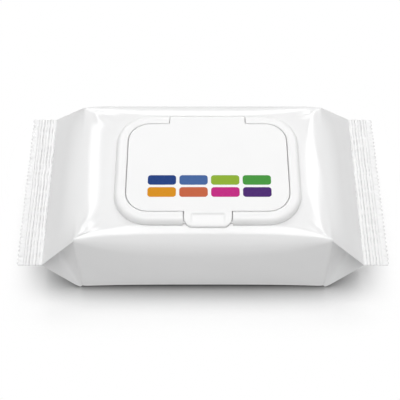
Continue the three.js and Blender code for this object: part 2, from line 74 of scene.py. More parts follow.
class End(Enum):
    """The two crimped ends of the pouch, by the sign of X."""

    LEFT = -1
    RIGHT = 1


class Body(Enum):
    """The frame's moving bodies."""

    PACK = "pack"
    LID = "lid"


class Slot(Enum):
    """The record's material slots."""

    FILM = "film"
    CAP = "cap"
    WIPES = "wipes"


def mm_box(node: str) -> np.ndarray:
    """Gives a CAD node's lowest and highest corners in millimetres, as a 2 x 3 array."""
    return np.array([list(corner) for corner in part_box(node)]) / MM


def lerp(a: Number, b: Number, t: Number) -> Number:
    """Mixes a and b by t."""
    return a + (b - a) * t


def smooth(low: float, high: float, value: Number) -> np.ndarray:
    """Rises from 0 at low to 1 at high without a corner."""
    t = np.clip((np.asarray(value, float) - low) / (high - low), 0, 1)
    return t * t * (3 - 2 * t)


def at_height(plan: np.ndarray, z: Number) -> np.ndarray:
    """Gives plan points a height."""
    return np.column_stack([plan, np.broadcast_to(z, len(plan))])


def level(z: float) -> Height:
    """Gives the height function of a flat face."""
    return lambda plan: np.full(len(plan), z)


def eased(corner: Plan, back: Plan, on: Plan, soft: float) -> list[Plan]:
    """Gives three points that round off a profile's corner, between unit steps back and on from it."""
    shares = ((1, 0), (1 / 3, 1 / 3), (0, 1))
    return [tuple(c + soft * (a * b + d * o) for c, b, o in zip(corner, back, on)) for a, d in shares]


class Term:
    """A node's output that takes part in Python arithmetic, each step adding a Math node."""

    def __init__(self, tree: "NodeTree", socket: bpy.types.NodeSocket) -> None:
        """Wraps one output socket of a tree."""
        self.tree = tree
        self.socket = socket

    def step(self, operation: str, *others: "Term | float") -> "Term":
        """Adds a Math node that takes this first and then the others."""
        return self.tree.maths(operation, self, *others)

    def __add__(self, other: "Term | float") -> "Term":
        """Adds."""
        return self.step("ADD", other)

    __radd__ = __add__

    def __sub__(self, other: "Term | float") -> "Term":
        """Subtracts."""
        return self.step("SUBTRACT", other)

    def __rsub__(self, other: float) -> "Term":
        """Subtracts this from a number."""
        return self.tree.maths("SUBTRACT", other, self)

    def __mul__(self, other: "Term | float") -> "Term":
        """Multiplies."""
        return self.step("MULTIPLY", other)

    __rmul__ = __mul__

    def __truediv__(self, other: "Term | float") -> "Term":
        """Divides."""
        return self.step("DIVIDE", other)

    def __rtruediv__(self, other: float) -> "Term":
        """Divides a number by this."""
        return self.tree.maths("DIVIDE", other, self)

    def __pow__(self, other: float) -> "Term":
        """Raises to a power."""
        return self.step("POWER", other)

    def __abs__(self) -> "Term":
        """Drops the sign."""
        return self.step("ABSOLUTE")

    def rise(self, low: float, high: float) -> "Term":
        """Rises smoothly from 0 where this is low to 1 where it is high."""
        inputs = {"Value": self, "From Min": low, "From Max": high}
        return self.tree.term("ShaderNodeMapRange", {"interpolation_type": "SMOOTHSTEP"}, inputs)


class NodeTree:
    """A shader or geometry tree that is written as Python expressions."""

    def __init__(self, tree: bpy.types.NodeTree) -> None:
        """Takes the tree that nodes are added to."""
        self.tree = tree

    def feed(self, socket: bpy.types.NodeSocket, value: object) -> None:
        """Links a term to an input socket, or sets the socket's value.

        Args:
            socket: the input.
            value: a term, a list of terms for an input that takes many, or a plain value.
        """
        if not isinstance(value, (Term, list)):
            socket.default_value = value
            return
        for term in value if isinstance(value, list) else [value]:
            self.tree.links.new(term.socket, socket)

    def node(self, kind: str, settings: dict | None = None, inputs: dict | None = None) -> bpy.types.Node:
        """Adds one node.

        Args:
            kind: the node's type.
            settings: properties of the node, set first.
            inputs: values or terms for sockets, by name or place.

        Returns:
            The node.
        """
        made = self.tree.nodes.new(kind)
        for name, value in (settings or {}).items():
            setattr(made, name, value)
        for key, value in (inputs or {}).items():
            self.feed(made.inputs[key], value)
        return made

    def term(
        self, kind: str, settings: dict | None = None, inputs: dict | None = None, output: int | str = 0
    ) -> Term:
        """Adds one node, as the method node does, and gives one of its outputs, by name or place."""
        return Term(self, self.node(kind, settings, inputs).outputs[output])

    def maths(self, operation: str, *operands: Term | float) -> Term:
        """Adds a Math node."""
        return self.term("ShaderNodeMath", {"operation": operation}, dict(enumerate(operands)))

    def vector(self, x: Term | float = 0.0, y: Term | float = 0.0, z: Term | float = 0.0) -> Term:
        """Joins three values to a vector."""
        return self.term("ShaderNodeCombineXYZ", None, {0: x, 1: y, 2: z})

    def split(self, vector: Term) -> list[Term]:
        """Parts a vector into its three values."""
        outputs = self.node("ShaderNodeSeparateXYZ", None, {0: vector}).outputs
        return [Term(self, output) for output in outputs]


class GeometryTree(NodeTree):
    """A geometry tree with named sizes that ends in Realize Instances and Set Material."""

    def __init__(self, name: str) -> None:
        """Starts an empty tree with a geometry input and output.

        Args:
            name: its name.
        """
        super().__init__(bpy.data.node_groups.new(name, "GeometryNodeTree"))
        self.identifiers: dict[str, str] = {}
        self.values: dict[str, float] = {}
        self.entry = self.tree.nodes.new("NodeGroupInput")
        self.exit = self.tree.nodes.new("NodeGroupOutput")
        for side in ("INPUT", "OUTPUT"):
            self.tree.interface.new_socket("Geometry", in_out=side, socket_type="NodeSocketGeometry")

    @property
    def geometry(self) -> Term:
        """The modified object's own geometry."""
        return Term(self, self.entry.outputs["Geometry"])

    def sizes(self, **values: float) -> list[Term]:
        """Adds named inputs.

        Args:
            values: each input's name, and the value that a piece gets.

        Returns:
            The inputs as terms, in order.
        """
        for name in values:
            socket = self.tree.interface.new_socket(name, in_out="INPUT", socket_type="NodeSocketFloat")
            self.identifiers[name] = socket.identifier
        self.values |= values
        return [Term(self, self.entry.outputs[name]) for name in values]

    def place(self) -> list[Term]:
        """The position field, split into X, Y and Z."""
        return self.split(self.term("GeometryNodeInputPosition"))

    def moved(self, geometry: Term, target: Term) -> Term:
        """Puts every point of a geometry at a new place."""
        return self.term("GeometryNodeSetPosition", None, {"Geometry": geometry, "Position": target})

    def copies(self, points: Term, shape: Term, shift: Term) -> Term:
        """Sets a copy of a shape on every point.

        Args:
            points: where the copies go.
            shape: what is copied.
            shift: how far each copy is moved from its point.

        Returns:
            The copies.
        """
        set_out = self.term("GeometryNodeInstanceOnPoints", None, {"Points": points, "Instance": shape})
        inputs = {"Instances": set_out, "Translation": shift, "Local Space": False}
        return self.term("GeometryNodeTranslateInstances", None, inputs)

    def block(self, size: Term, cuts: tuple[int, int, int]) -> Term:
        """Adds a box with the given numbers of points along its edges."""
        inputs = {"Size": size, **{f"Vertices {axis}": count for axis, count in zip("XYZ", cuts)}}
        return self.term("GeometryNodeMeshCube", None, inputs, "Mesh")

    def close(self, geometry: Term, material: bpy.types.Material) -> None:
        """Realizes what was made, turns millimetres into metres and gives it its material.

        Args:
            geometry: the result in millimetres.
            material: the finish's material.
        """
        real = self.term("GeometryNodeRealizeInstances", None, {0: geometry})
        metres = self.term("GeometryNodeTransform", None, {"Geometry": real, "Scale": (MM, MM, MM)})
        dressed = self.term("GeometryNodeSetMaterial", None, {"Geometry": metres, "Material": material})
        self.feed(self.exit.inputs["Geometry"], dressed)

    def grow(self, name: str, base: bpy.types.Mesh | None = None, **own: float) -> bpy.types.Object:
        """Runs the tree on a base mesh and keeps the result as a plain mesh.

        Args:
            name: name of the piece.
            base: mesh that the tree starts from, if it needs one.
            own: sizes of this piece alone.

        Returns:
            The piece's object, with no modifier left.
        """
        made = add_object(name, base or bpy.data.meshes.new(name))
        modifier = made.modifiers.new(self.tree.name, "NODES")
        modifier.node_group = self.tree
        for key, value in (self.values | own).items():
            modifier[self.identifiers[key]] = value
        settle(made)
        return made


class Surface(NodeTree):
    """A material's tree round one Principled shader."""

    def __init__(self, name: str, fixed: dict[str, float] | None = None) -> None:
        """Starts a material.

        Args:
            name: its name.
            fixed: values that are the same all over, by the shader's socket names.
        """
        self.material = bpy.data.materials.new(name)
        self.material.use_nodes = True
        super().__init__(self.material.node_tree)
        self.shader = self.tree.nodes["Principled BSDF"]
        for key, value in (fixed or {}).items():
            self.shader.inputs[key].default_value = value

    def place(self) -> Term:
        """The piece's own coordinates."""
        return self.term("ShaderNodeTexCoord", None, None, "Object")

    def noise(self, size: float, detail: float = 2.0) -> Term:
        """Adds a noise about 0.5, with blotches of a size in millimetres."""
        inputs = {"Vector": self.place(), "Scale": 1 / (size * MM), "Detail": detail}
        return self.term("ShaderNodeTexNoise", None, inputs)

    def stored(self, name: str, output: str) -> Term:
        """Reads an attribute of the piece, as the output Fac or Color."""
        return self.term("ShaderNodeAttribute", {"attribute_name": name}, None, output)

    def mixed(self, share: Term, colour: Term | Triple, other: Triple) -> Term:
        """Mixes two colours, where the share is how much of the other one shows."""
        first = colour if isinstance(colour, Term) else (*colour, 1)
        return self.term("ShaderNodeMix", {"data_type": "RGBA"}, {0: share, 6: first, 7: (*other, 1)}, 2)

    def finish(self, colour: Term, roughness: Term, height: Term, depth: float) -> bpy.types.Material:
        """Feeds the shader with what changes over the surface.

        Args:
            colour: base colour.
            roughness: roughness.
            height: height of the fine relief.
            depth: real depth of a height of 1, in millimetres.

        Returns:
            The material.
        """
        bump = self.term("ShaderNodeBump", None, {"Height": height, "Distance": depth * MM}, "Normal")
        for key, value in {"Base Color": colour, "Roughness": roughness, "Normal": bump}.items():
            self.feed(self.shader.inputs[key], value)
        return self.material


class Outline:
    """A closed plan outline, anticlockwise, of straight edges joined by arcs, in millimetres."""

    least_bend = 0.02

    def __init__(self, corners: Sequence[Triple], steps: int = 10, pitch: float = 2.0) -> None:
        """Takes the corners.

        Args:
            corners: X, Y and radius of each corner, in order.
            steps: arc steps at each corner.
            pitch: longest step along a straight edge.
        """
        self.places = np.array([corner[:2] for corner in corners], float)
        self.radii = np.array([corner[2] for corner in corners], float)
        self.steps = steps
        arcs = self._arcs(0.0)
        gaps = [np.linalg.norm(arcs[i][0] - arcs[i - 1][-1]) for i in range(len(arcs))]
        self.inner = [max(1, math.ceil(gap / pitch)) for gap in gaps]

    @classmethod
    def rounded_rect(
        cls, middle: Plan, length: float, width: float, radius: float, steps: int = 10, pitch: float = 2.0
    ) -> "Outline":
        """Makes a rectangle with round corners.

        Args:
            middle: its centre.
            length: its size along X.
            width: its size along Y.
            radius: its corner radius.
            steps: arc steps at each corner.
            pitch: longest step along a straight edge.

        Returns:
            The outline.
        """
        signs = ((-1, -1), (1, -1), (1, 1), (-1, 1))
        corners = [(middle[0] + sx * length / 2, middle[1] + sy * width / 2, radius) for sx, sy in signs]
        return cls(corners, steps, pitch)

    def _arcs(self, inset: float) -> list[np.ndarray]:
        """Gives the points of each corner's arc.

        Args:
            inset: how far the outline is moved inwards.

        Returns:
            One n x 2 array for each corner.
        """
        ahead = np.roll(self.places, -1, axis=0) - self.places
        ahead /= np.linalg.norm(ahead, axis=1)[:, None]
        behind = np.roll(ahead, 1, axis=0)
        arcs = []
        for place, radius, d0, d1 in zip(self.places, self.radii, behind, ahead):
            n0 = np.array([-d0[1], d0[0]])
            n1 = np.array([-d1[1], d1[0]])
            corner = place + inset * (n0 + n1) / (1 + n0 @ n1)
            turn = math.atan2(d0[0] * d1[1] - d0[1] * d1[0], d0 @ d1)
            side = math.copysign(1.0, turn)
            bend = max(radius - side * inset, self.least_bend)
            centre = corner - d0 * bend * math.tan(abs(turn) / 2) + side * n0 * bend
            start = math.atan2(-side * n0[1], -side * n0[0])
            angles = start + turn * np.linspace(0, 1, self.steps + 1)
            arcs.append(centre + bend * np.column_stack([np.cos(angles), np.sin(angles)]))
        return arcs

    def ring(self, inset: float = 0.0) -> np.ndarray:
        """Gives the outline's points, moved inwards.

        Args:
            inset: how far inwards; every ring of one outline has the same number of points.

        Returns:
            An n x 2 array.
        """
        arcs = self._arcs(inset)
        runs = []
        for i, arc in enumerate(arcs):
            share = np.linspace(0, 1, self.inner[i] + 1)[1:-1, None]
            runs += [arcs[i - 1][-1] * (1 - share) + arc[0] * share, arc]
        return np.vstack(runs)


class Skin:
    """Gathers the points and faces of a closed mesh, in millimetres."""

    def __init__(self) -> None:
        """Starts empty."""
        self.points: list[np.ndarray] = []
        self.faces: list[tuple[int, ...]] = []
        self.count = 0

    def add(self, points: np.ndarray) -> int:
        """Adds points.

        Args:
            points: X, Y and Z of each, in an array of any shape.

        Returns:
            The number of the first one.
        """
        first = self.count
        self.points.append(np.asarray(points, float).reshape(-1, 3))
        self.count += len(self.points[-1])
        return first

    def band(self, rings: Sequence[np.ndarray]) -> None:
        """Adds quads between each two neighbouring rings.

        Args:
            rings: closed rings, all with the same number of points.
        """
        n = len(rings[0])
        first = self.add(np.vstack(rings))
        for r in range(len(rings) - 1):
            a, b = first + r * n, first + (r + 1) * n
            self.faces += [(a + i, a + (i + 1) % n, b + (i + 1) % n, b + i) for i in range(n)]

    def ladder(self, first: int, n: int) -> None:
        """Closes a ring of n points by quads between its two halves."""
        steps = range(n // 2 - 1)
        self.faces += [(first + i, first + i + 1, first + n - 2 - i, first + n - 1 - i) for i in steps]

    def cap(self, loops: Sequence[np.ndarray], height: Height, inner: np.ndarray | None = None) -> None:
        """Fills the plan between an outline and its holes.

        Args:
            loops: the outline, then the holes, as plan points.
            height: gives Z for plan points.
            inner: further plan points to keep inside.
        """
        plan = list(loops)
        edges = []
        first = 0
        for loop in plan:
            n = len(loop)
            edges += [(first + i, first + (i + 1) % n) for i in range(n)]
            first += n
        if inner is not None:
            plan.append(inner)
        given = [Vector(p) for p in np.vstack(plan)]
        spots, _, faces, *_ = delaunay_2d_cdt(given, edges, [], 0, PLAN_TOUCH)
        flat = np.array([list(p) for p in spots])
        start = self.add(np.column_stack([flat, height(flat)]))
        middles = np.array([flat[list(face)].mean(axis=0) for face in faces])
        kept = np.flatnonzero(within(middles, loops))
        self.faces += [tuple(start + i for i in faces[k]) for k in kept]

    def finish(self, name: str) -> bpy.types.Object:
        """Makes the object in metres, welded and facing outwards.

        Args:
            name: its name.

        Returns:
            The object.
        """
        mesh = bpy.data.meshes.new(name)
        mesh.from_pydata((np.vstack(self.points) * MM).tolist(), [], self.faces)
        weld(mesh)
        return add_object(name, mesh)


def within(plan: np.ndarray, loops: Sequence[np.ndarray]) -> np.ndarray:
    """Tells which plan points lie inside an outline and outside its holes.

    Args:
        plan: n x 2 plan points.
        loops: the outline and the holes.

    Returns:
        True for each point inside.
    """
    crossings = np.zeros(len(plan), int)
    x, y = plan[:, 0], plan[:, 1]
    for loop in loops:
        for (x0, y0), (x1, y1) in zip(loop, np.roll(loop, -1, axis=0)):
            spans = (y0 > y) != (y1 > y)
            rise = y1 - y0 if y1 != y0 else 1.0
            crossings += spans & (x < x0 + (y - y0) * (x1 - x0) / rise)
    return crossings % 2 == 1


def weld(mesh: bpy.types.Mesh) -> None:
    """Merges doubled points, turns the faces outwards and shades them.

    Args:
        mesh: the mesh that is changed.
    """
    made = bmesh.new()
    made.from_mesh(mesh)
    bmesh.ops.remove_doubles(made, verts=made.verts, dist=WELD_REACH)
    bmesh.ops.dissolve_degenerate(made, edges=made.edges, dist=WELD_REACH / 4)
    bmesh.ops.recalc_face_normals(made, faces=made.faces)
    made.to_mesh(mesh)
    made.free()
    soften(mesh)


def soften(mesh: bpy.types.Mesh) -> None:
    """Shades a mesh smooth, with edges sharper than the usual angle kept."""
    mesh.shade_smooth()
    mesh.set_sharp_from_angle(angle=SMOOTH_ANGLE)


def add_object(name: str, mesh: bpy.types.Mesh) -> bpy.types.Object:
    """Puts a mesh into the scene as an object at the origin.

    Args:
        name: the object's name.
        mesh: its mesh.

    Returns:
        The object.
    """
    made = bpy.data.objects.new(name, mesh)
    bpy.context.scene.collection.objects.link(made)
    return made


def settle(made: bpy.types.Object) -> None:
    """Replaces an object's mesh by what its modifiers make of it, and removes them.

    Args:
        made: the object.
    """
    graph = bpy.context.evaluated_depsgraph_get()
    mesh = bpy.data.meshes.new_from_object(made.evaluated_get(graph))
    made.modifiers.clear()
    made.data = mesh
    mesh.name = made.name


def thicken(made: bpy.types.Object, thickness: float, offset: float) -> None:
    """Gives a skin its wall.

    Args:
        made: the skin.
        thickness: the wall's thickness in millimetres.
        offset: -1 for a wall inside the skin, 0 for one on both sides.
    """
    wall = made.modifiers.new("wall", "SOLIDIFY")
    wall.thickness = thickness * MM
    wall.offset = offset
    settle(made)


def unite(base: bpy.types.Object, others: Sequence[bpy.types.Object]) -> None:
    """Joins closed solids into the first one.

    Args:
        base: the object that is kept.
        others: solids that it takes in; they are removed.
    """
    for other in others:
        modifier = base.modifiers.new(other.name, "BOOLEAN")
        modifier.operation = "UNION"
        modifier.solver = "MANIFOLD"
        modifier.object = other
    settle(base)
    for other in others:
        bpy.data.objects.remove(other)


def dress(made: bpy.types.Object, material: bpy.types.Material) -> None:
    """Gives every face of an object one material."""
    made.data.materials.clear()
    made.data.materials.append(material)


def seat(
    made: bpy.types.Object,
    body: Body,
    stands_for: Sequence[str] = (),
    material: bpy.types.Material | None = None,
) -> None:
    """Shades and dresses a finished piece, fixes it to the frame and reports it.

    Args:
        made: the piece.
        body: the body it moves with.
        stands_for: CAD nodes that it replaces.
        material: its finish, if it has none yet.
    """
    soften(made.data)
    if material:
        dress(made, material)
    if stands_for:
        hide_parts(*stands_for)
    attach(made, body.value)
    LOG.info("%s: %d faces on %s", made.name, len(made.data.polygons), body.value)


@dataclass(frozen=True)
class Finish:
    """What every finish has: a name, a colour and a gloss."""

    name: str
    colour: Triple
    roughness: float

    def toned(self, surface: Surface, share: Term, tone: float) -> Term:
        """Mixes the colour by a share with a darker tone of it, where a tone of 1 is the colour itself."""
        return surface.mixed(share, self.colour, tuple(c * tone for c in self.colour))


@dataclass(frozen=True)
class FilmFinish(Finish):
    """Glossy white laminate: soft crinkles, and a slightly duller haze in blotches."""

    ior: float = 1.58
    crinkle: float = 9.0
    crinkle_detail: float = 3.0
    crinkle_depth: float = 0.06
    grain: float = 1.2
    grain_gloss: float = 0.02
    grain_relief: float = 0.06
    blotch: float = 38.0
    blotch_range: Range = (0.3, 0.75)
    blotch_tone: float = 0.985
    haze: float = 0.04

    def build(self) -> bpy.types.Material:
        """Makes the finish's tree.

        Returns:
            The material.
        """
        surface = Surface(self.name, {"IOR": self.ior})
        blotch = surface.noise(self.blotch)
        crinkle = surface.noise(self.crinkle, self.crinkle_detail)
        grain = surface.noise(self.grain)
        colour = self.toned(surface, blotch.rise(*self.blotch_range), self.blotch_tone)
        roughness = blotch * self.haze + grain * self.grain_gloss + (self.roughness - self.haze / 2)
        return surface.finish(colour, roughness, crinkle + grain * self.grain_relief, self.crinkle_depth)


@dataclass(frozen=True)
class SealFinish(Finish):
    """Heat-sealed laminate: duller than the film, with painted shade darkening its crimp grooves and dents,
    and darker tooth tips.
    """

    ior: float = 1.5
    # the stored share of painted shade in the crimp grooves and dents, with the darker tooth tips
    attribute: str = "pressed"
    # tone of the painted shade in the grooves and dents
    groove_shade_tone: float = 0.76
    mottle: float = 2.4
    mottle_detail: float = 3.0
    mottle_range: Range = (0.45, 0.75)
    mottle_share: float = 0.12
    mottle_gloss: float = 0.2
    mottle_depth: float = 0.04

    def build(self) -> bpy.types.Material:
        """Makes the finish's tree.

        Returns:
            The material.
        """
        surface = Surface(self.name, {"IOR": self.ior})
        # pressed carries painted shade: the grooves and dents are darkened in colour where shade falls
        pressed = surface.stored(self.attribute, "Fac")
        mottle = surface.noise(self.mottle, self.mottle_detail)
        share = pressed.step("MAXIMUM", mottle.rise(*self.mottle_range) * self.mottle_share)
        colour = self.toned(surface, share, self.groove_shade_tone)
        roughness = mottle * self.mottle_gloss + (self.roughness - self.mottle_gloss / 2)
        return surface.finish(colour, roughness, mottle, self.mottle_depth)


@dataclass(frozen=True)
class CapFinish(Finish):
    """Satin white polypropylene: fine eroded mould texture and faint flow marks."""

    texture: float = 0.35
    texture_detail: float = 3.0
    texture_depth: float = 0.006
    texture_gloss: float = 0.08
    flow: float = 22.0
    flow_detail: float = 1.0
    flow_range: Range = (0.35, 0.7)
    flow_tone: float = 0.99
    flow_gloss: float = 0.05
    gloss_shift: float = 0.06

    def build(self) -> bpy.types.Material:
        """Makes the finish's tree.

        Returns:
            The material.
        """
        surface = Surface(self.name)
        flow = surface.noise(self.flow, self.flow_detail)
        texture = surface.noise(self.texture, self.texture_detail)
        colour = self.toned(surface, flow.rise(*self.flow_range), self.flow_tone)
        least = self.roughness - self.gloss_shift
        roughness = texture * self.texture_gloss + flow * self.flow_gloss + least
        return surface.finish(colour, roughness, texture, self.texture_depth)


@dataclass(frozen=True)
class WipeFinish(Finish):
    """Damp non-woven: tangled fibres, pressed dots in rows and darker damp patches."""

    sheen: float = 0.1
    fibre: float = 0.5
    fibre_detail: float = 4.0
    dot_pitch: float = 2.2
    dot_turn: float = math.radians(45)
    dot_range: Range = (0.25, 0.9)
    damp: float = 14.0
    damp_range: Range = (0.4, 0.7)
    shade_shares: Triple = (0.5, 0.3, 0.2)
    shade_tone: float = 0.9
    fibre_gloss: float = 0.2
    damp_gloss: float = 0.15
    relief: float = 0.16
    relief_shares: Plan = (0.5, 0.7)

    def build(self) -> bpy.types.Material:
        """Makes the finish's tree.

        Returns:
            The material.
        """
        surface = Surface(self.name, {"Sheen Weight": self.sheen})
        turn = {"Vector": surface.place(), "Rotation": (0, 0, self.dot_turn), "Scale": (1 / MM, 1 / MM, 0)}
        turned = surface.term("ShaderNodeMapping", {"vector_type": "POINT"}, turn)
        wave = 2 * math.pi / self.dot_pitch
        across, along, _ = surface.split(turned)
        dots = ((across * wave).step("SINE") * (along * wave).step("SINE")).rise(*self.dot_range)
        fibres = surface.noise(self.fibre, self.fibre_detail)
        damp = surface.noise(self.damp)
        shares = zip((damp.rise(*self.damp_range), dots, fibres), self.shade_shares)
        shade = sum(part * share for part, share in shares)
        colour = self.toned(surface, shade, self.shade_tone)
        roughness = fibres * self.fibre_gloss + self.roughness - damp * self.damp_gloss
        relief = fibres * self.relief_shares[0] - dots * self.relief_shares[1]
        return surface.finish(colour, roughness, relief, self.relief)


@dataclass(frozen=True)
class GlueFinish(Finish):
    """Hot-melt bond: waxy, slightly yellow, with flow ripples."""

    ripple: float = 3.0
    ripple_range: Range = (0.35, 0.7)
    ripple_tone: float = 0.9
    ripple_gloss: float = 0.2
    ripple_depth: float = 0.1

    def build(self) -> bpy.types.Material:
        """Makes the finish's tree.

        Returns:
            The material.
        """
        surface = Surface(self.name)
        ripple = surface.noise(self.ripple)
        colour = self.toned(surface, ripple.rise(*self.ripple_range), self.ripple_tone)
        roughness = ripple * self.ripple_gloss + (self.roughness - self.ripple_gloss / 2)
        return surface.finish(colour, roughness, ripple, self.ripple_depth)


@dataclass(frozen=True)
class InkFinish(Finish):
    """Printed ink fields: the colour comes from the print, with a little uneven cover."""

    specular: float = 0.12
    attribute: str = "ink"
    cover: float = 1.5
    cover_range: Range = (0.3, 0.8)
    cover_share: float = 0.01
    grain: float = 0.4
    grain_gloss: float = 0.1
    grain_depth: float = 0.004

    def build(self) -> bpy.types.Material:
        """Makes the finish's tree.

        Returns:
            The material.
        """
        surface = Surface(self.name, {"Specular IOR Level": self.specular})
        cover = surface.noise(self.cover).rise(*self.cover_range) * self.cover_share
        colour = surface.mixed(cover, surface.stored(self.attribute, "Color"), self.colour)
        grain = surface.noise(self.grain)
        roughness = grain * self.grain_gloss + (self.roughness - self.grain_gloss / 2)
        return surface.finish(colour, roughness, grain, self.grain_depth)


@dataclass(frozen=True)
class Fold:
    """A soft ridge in the film's top, between two plan points, fading out at both ends."""

    start: Plan
    finish: Plan
    width: float
    rise: float
    bow: float
    fade: Range = (0.3, 0.6)

    def lift(self, plan: np.ndarray) -> np.ndarray:
        """Gives how far the film is lifted.

        Args:
            plan: n x 2 plan points.

        Returns:
            The lift at each point.
        """
        a, b = np.array(self.start), np.array(self.finish)
        length = np.linalg.norm(b - a)
        unit = (b - a) / length
        t = ((plan - a) @ unit) / length
        off = (plan - a) @ np.array([-unit[1], unit[0]]) - self.bow * 4 * t * (1 - t)
        fade = smooth(0.0, self.fade[0], t) * smooth(1.0, self.fade[1], t)
        return self.rise * np.exp(-((off / self.width) ** 2)) * fade


@dataclass(frozen=True)
class Wave:
    """Two crossed sine waves over a surface, each with its pace along two coordinates and its phase."""

    height: float
    first: Triple
    second: Triple

    def at(self, u: np.ndarray, v: np.ndarray, shift: Number = 0.0) -> np.ndarray:
        """Gives the wave's height over u and v, with the first wave's phase shifted."""
        (a, b, c), (d, e, f) = self.first, self.second
        return self.height * np.sin(a * u + b * v + c + shift) * np.sin(d * u + e * v + f)


@dataclass
class FilmPouch:
    """The flow-wrapped film pouch, with tucked gussets, a back seam and the cut dispensing mouth."""

    folds: Sequence[Fold]
    film: float = 0.12
    top_length: float = 156.5
    bottom_length: float = 160.0
    body_width: float = 104.0
    flat_reach: Ends = (58.3, 62.0)
    flat_bow: float = 13.0
    corner_drop: float = 1.5
    seal_start: float = 99.6
    seal_height: float = 37.0
    seal_thickness: float = 0.7
    swell_power: int = 3
    shoulder_bulge: float = 2.7
    shoulder_lean: float = 0.0875
    foot_lean: float = 0.2
    front_tilts: Sequence[Plan] = ((0, 0), (3, 11), (9, 29), (14, 45), (18, 60), (22, 75), (26, 85))
    rear_tilts: Sequence[Plan] = ((0, 0), (2.5, 7), (6.5, 11), (10, 25), (12, 56), (14, 85))
    roll_samples: int = 400
    roll_blur: int = 31
    corner_roll: float = 0.12
    foot_radius: float = 4.0
    corner_radius: float = 1.5
    end_belly: Ends = (2.45, 2.25)
    edge_belly: float = 1.3
    seal_dip: Ends = (0.15, 0.08)
    dip_power: float = 6.0
    crease_fade: float = 6.0
    foot_lift: float = 1.0
    foot_reach: float = 2.6
    wing: float = 0.33
    wing_share: float = 0.45
    tuck: float = 23.2
    gusset_flare: float = 5.0
    seam_width: float = 12.0
    seam_step: float = 0.2
    seam_soft: float = 0.1
    seam_fade: float = 1.5
    mouth_middle: Plan = (3.0, -0.3)
    mouth_length: float = 66.0
    mouth_width: float = 30.0
    mouth_corner: float = 14.5
    mouth_sag: float = 0.25
    lip_width: float = 4.0
    lip_rings: int = 6
    patch_length: float = 92.0
    patch_width: float = 54.0
    slack_waves: Sequence[Wave] = (
        Wave(0.05, (0.21, 0.04, 0.8), (-0.03, 0.07, 2.1)),
        Wave(0.03, (0.11, -0.12, 4.0), (0.07, 0.11, 1.0)),
    )
    still_reach: Plan = (46.0, 28.0)
    still_fade: Range = (8.0, 22.0)
    edge_fade: Range = (2.0, 16.0)
    edge_slack: float = 0.25
    seal_fade: float = 8.0
    side_swing: Wave = Wave(0.15, (0.062, 0, 0), (0.021, 5.2, 0))
    side_ripple: Wave = Wave(0.075, (0.13, 9.0, 0), (0, 0, QUARTER))
    side_phase: float = 1.1
    side_zone: Range = (6.0, 1.0)
    side_fade: float = 14.0
    fill: float = 0.85
    top_points: int = 46
    tip_points: int = 8
    wing_points: int = 14
    wall_points: int = 22
    seam_points: int = 14
    end_stations: int = 24
    station_pitch: float = 1.22
    height: float = field(init=False)
    seal_half: float = field(init=False)

    def __post_init__(self) -> None:
        """Takes the height and the seal's span from the frame."""
        _, high = mm_box("film_pouch")
        self.height = float(high[2])
        self.seal_half = float(high[1])

    def stations(self) -> np.ndarray:
        """Sets out the sections along the pouch.

        Returns:
            X of each section.
        """
        corner = self.top_length / 2
        body = np.linspace(0, corner, round(corner / self.station_pitch) + 1)
        half = np.concatenate([body, np.linspace(corner, self.seal_start, self.end_stations)[1:]])
        return np.concatenate([-half[:0:-1], half])

    def heights(self, x: float) -> tuple[float, float]:
        """Gives the film's heights along its long edges.

        Args:
            x: the station.

        Returns:
            Height of the top edge and of the bottom.
        """
        half, foot, seal = self.top_length / 2, self.bottom_length / 2, self.seal_start
        runs = ((self.flat_reach[int(x > 0)], half), (half, seal), (foot, seal))
        to_corner, top_slope, bottom_slope = (float(np.clip((abs(x) - a) / (b - a), 0, 1)) for a, b in runs)
        corner = self.height - self.corner_drop * to_corner**2
        edge = lerp(corner, self.seal_height + self.seal_thickness / 2, top_slope)
        return edge, lerp(0.0, self.seal_height - self.seal_thickness / 2, bottom_slope)

    def crown(self, x: float, f: np.ndarray) -> np.ndarray:
        """Gives the heights of the top across a station; the end crease is sharp only at the long edges.

        Args:
            x: the station.
            f: shares of the way from the middle to the edge.

        Returns:
            The height at each share.
        """
        end = int(x > 0)
        share = np.append(f, 1.0) ** 2
        flat = self.flat_reach[end] + self.flat_bow * share
        past = np.clip((abs(x) - flat) / (self.seal_start - flat), 0, 1)
        power = lerp(self.end_belly[end], self.edge_belly, share)
        fall = lerp(past**power, past**self.dip_power, self.seal_dip[end] * (1 - share))
        belly = lerp(self.height, self.seal_height + self.seal_thickness / 2, fall)
        return belly[:-1] + (self.heights(x)[0] - belly[-1]) * f**self.crease_fade

    def body_half(self, x: float, tilts: Sequence[Plan]) -> np.ndarray:
        """Gives half a section through the body, from the middle of the top to the middle of the bottom.

        Args:
            x: the station.
            tilts: how the top edge rolls over, as length along it and tilt in degrees.

        Returns:
            Y and Z of each point.
        """
        edge, bottom = self.heights(x)
        swell = 1 - abs(2 * x / self.top_length) ** self.swell_power
        foot = self.body_width / 2
        shoulder = foot + self.shoulder_bulge * swell
        foot_r = lerp(self.corner_radius, self.foot_radius, swell)
        roll = self.edge_roll(tilts, lerp(self.corner_roll, 1.0, swell))
        reach, drop = roll[-1]
        f = np.linspace(0, 1, self.top_points)
        top = np.column_stack([f * (shoulder - reach), self.crown(x, f)])
        f = np.linspace(0, 1, self.wall_points + 2)[1:-1]
        tall = edge - drop - bottom - foot_r
        side = shoulder * (1 + 2 * f) * (1 - f) ** 2 + foot * f**2 * (3 - 2 * f)
        side += tall * swell * (self.shoulder_lean * f * (1 - f) ** 2 - self.foot_lean * f**2 * (f - 1))
        wall = np.column_stack([side, lerp(edge - drop, bottom + foot_r, f)])
        a = np.linspace(0, QUARTER, self.tip_points + self.wing_points + 1)[:-1]
        curve = np.column_stack([foot - foot_r * (1 - np.cos(a)), bottom + foot_r * (1 - np.sin(a))])
        rolled = np.array([shoulder - reach, edge]) + roll * (1, -1)
        return np.vstack([top, rolled, wall, curve, self.bottom_half(foot - foot_r, bottom)])

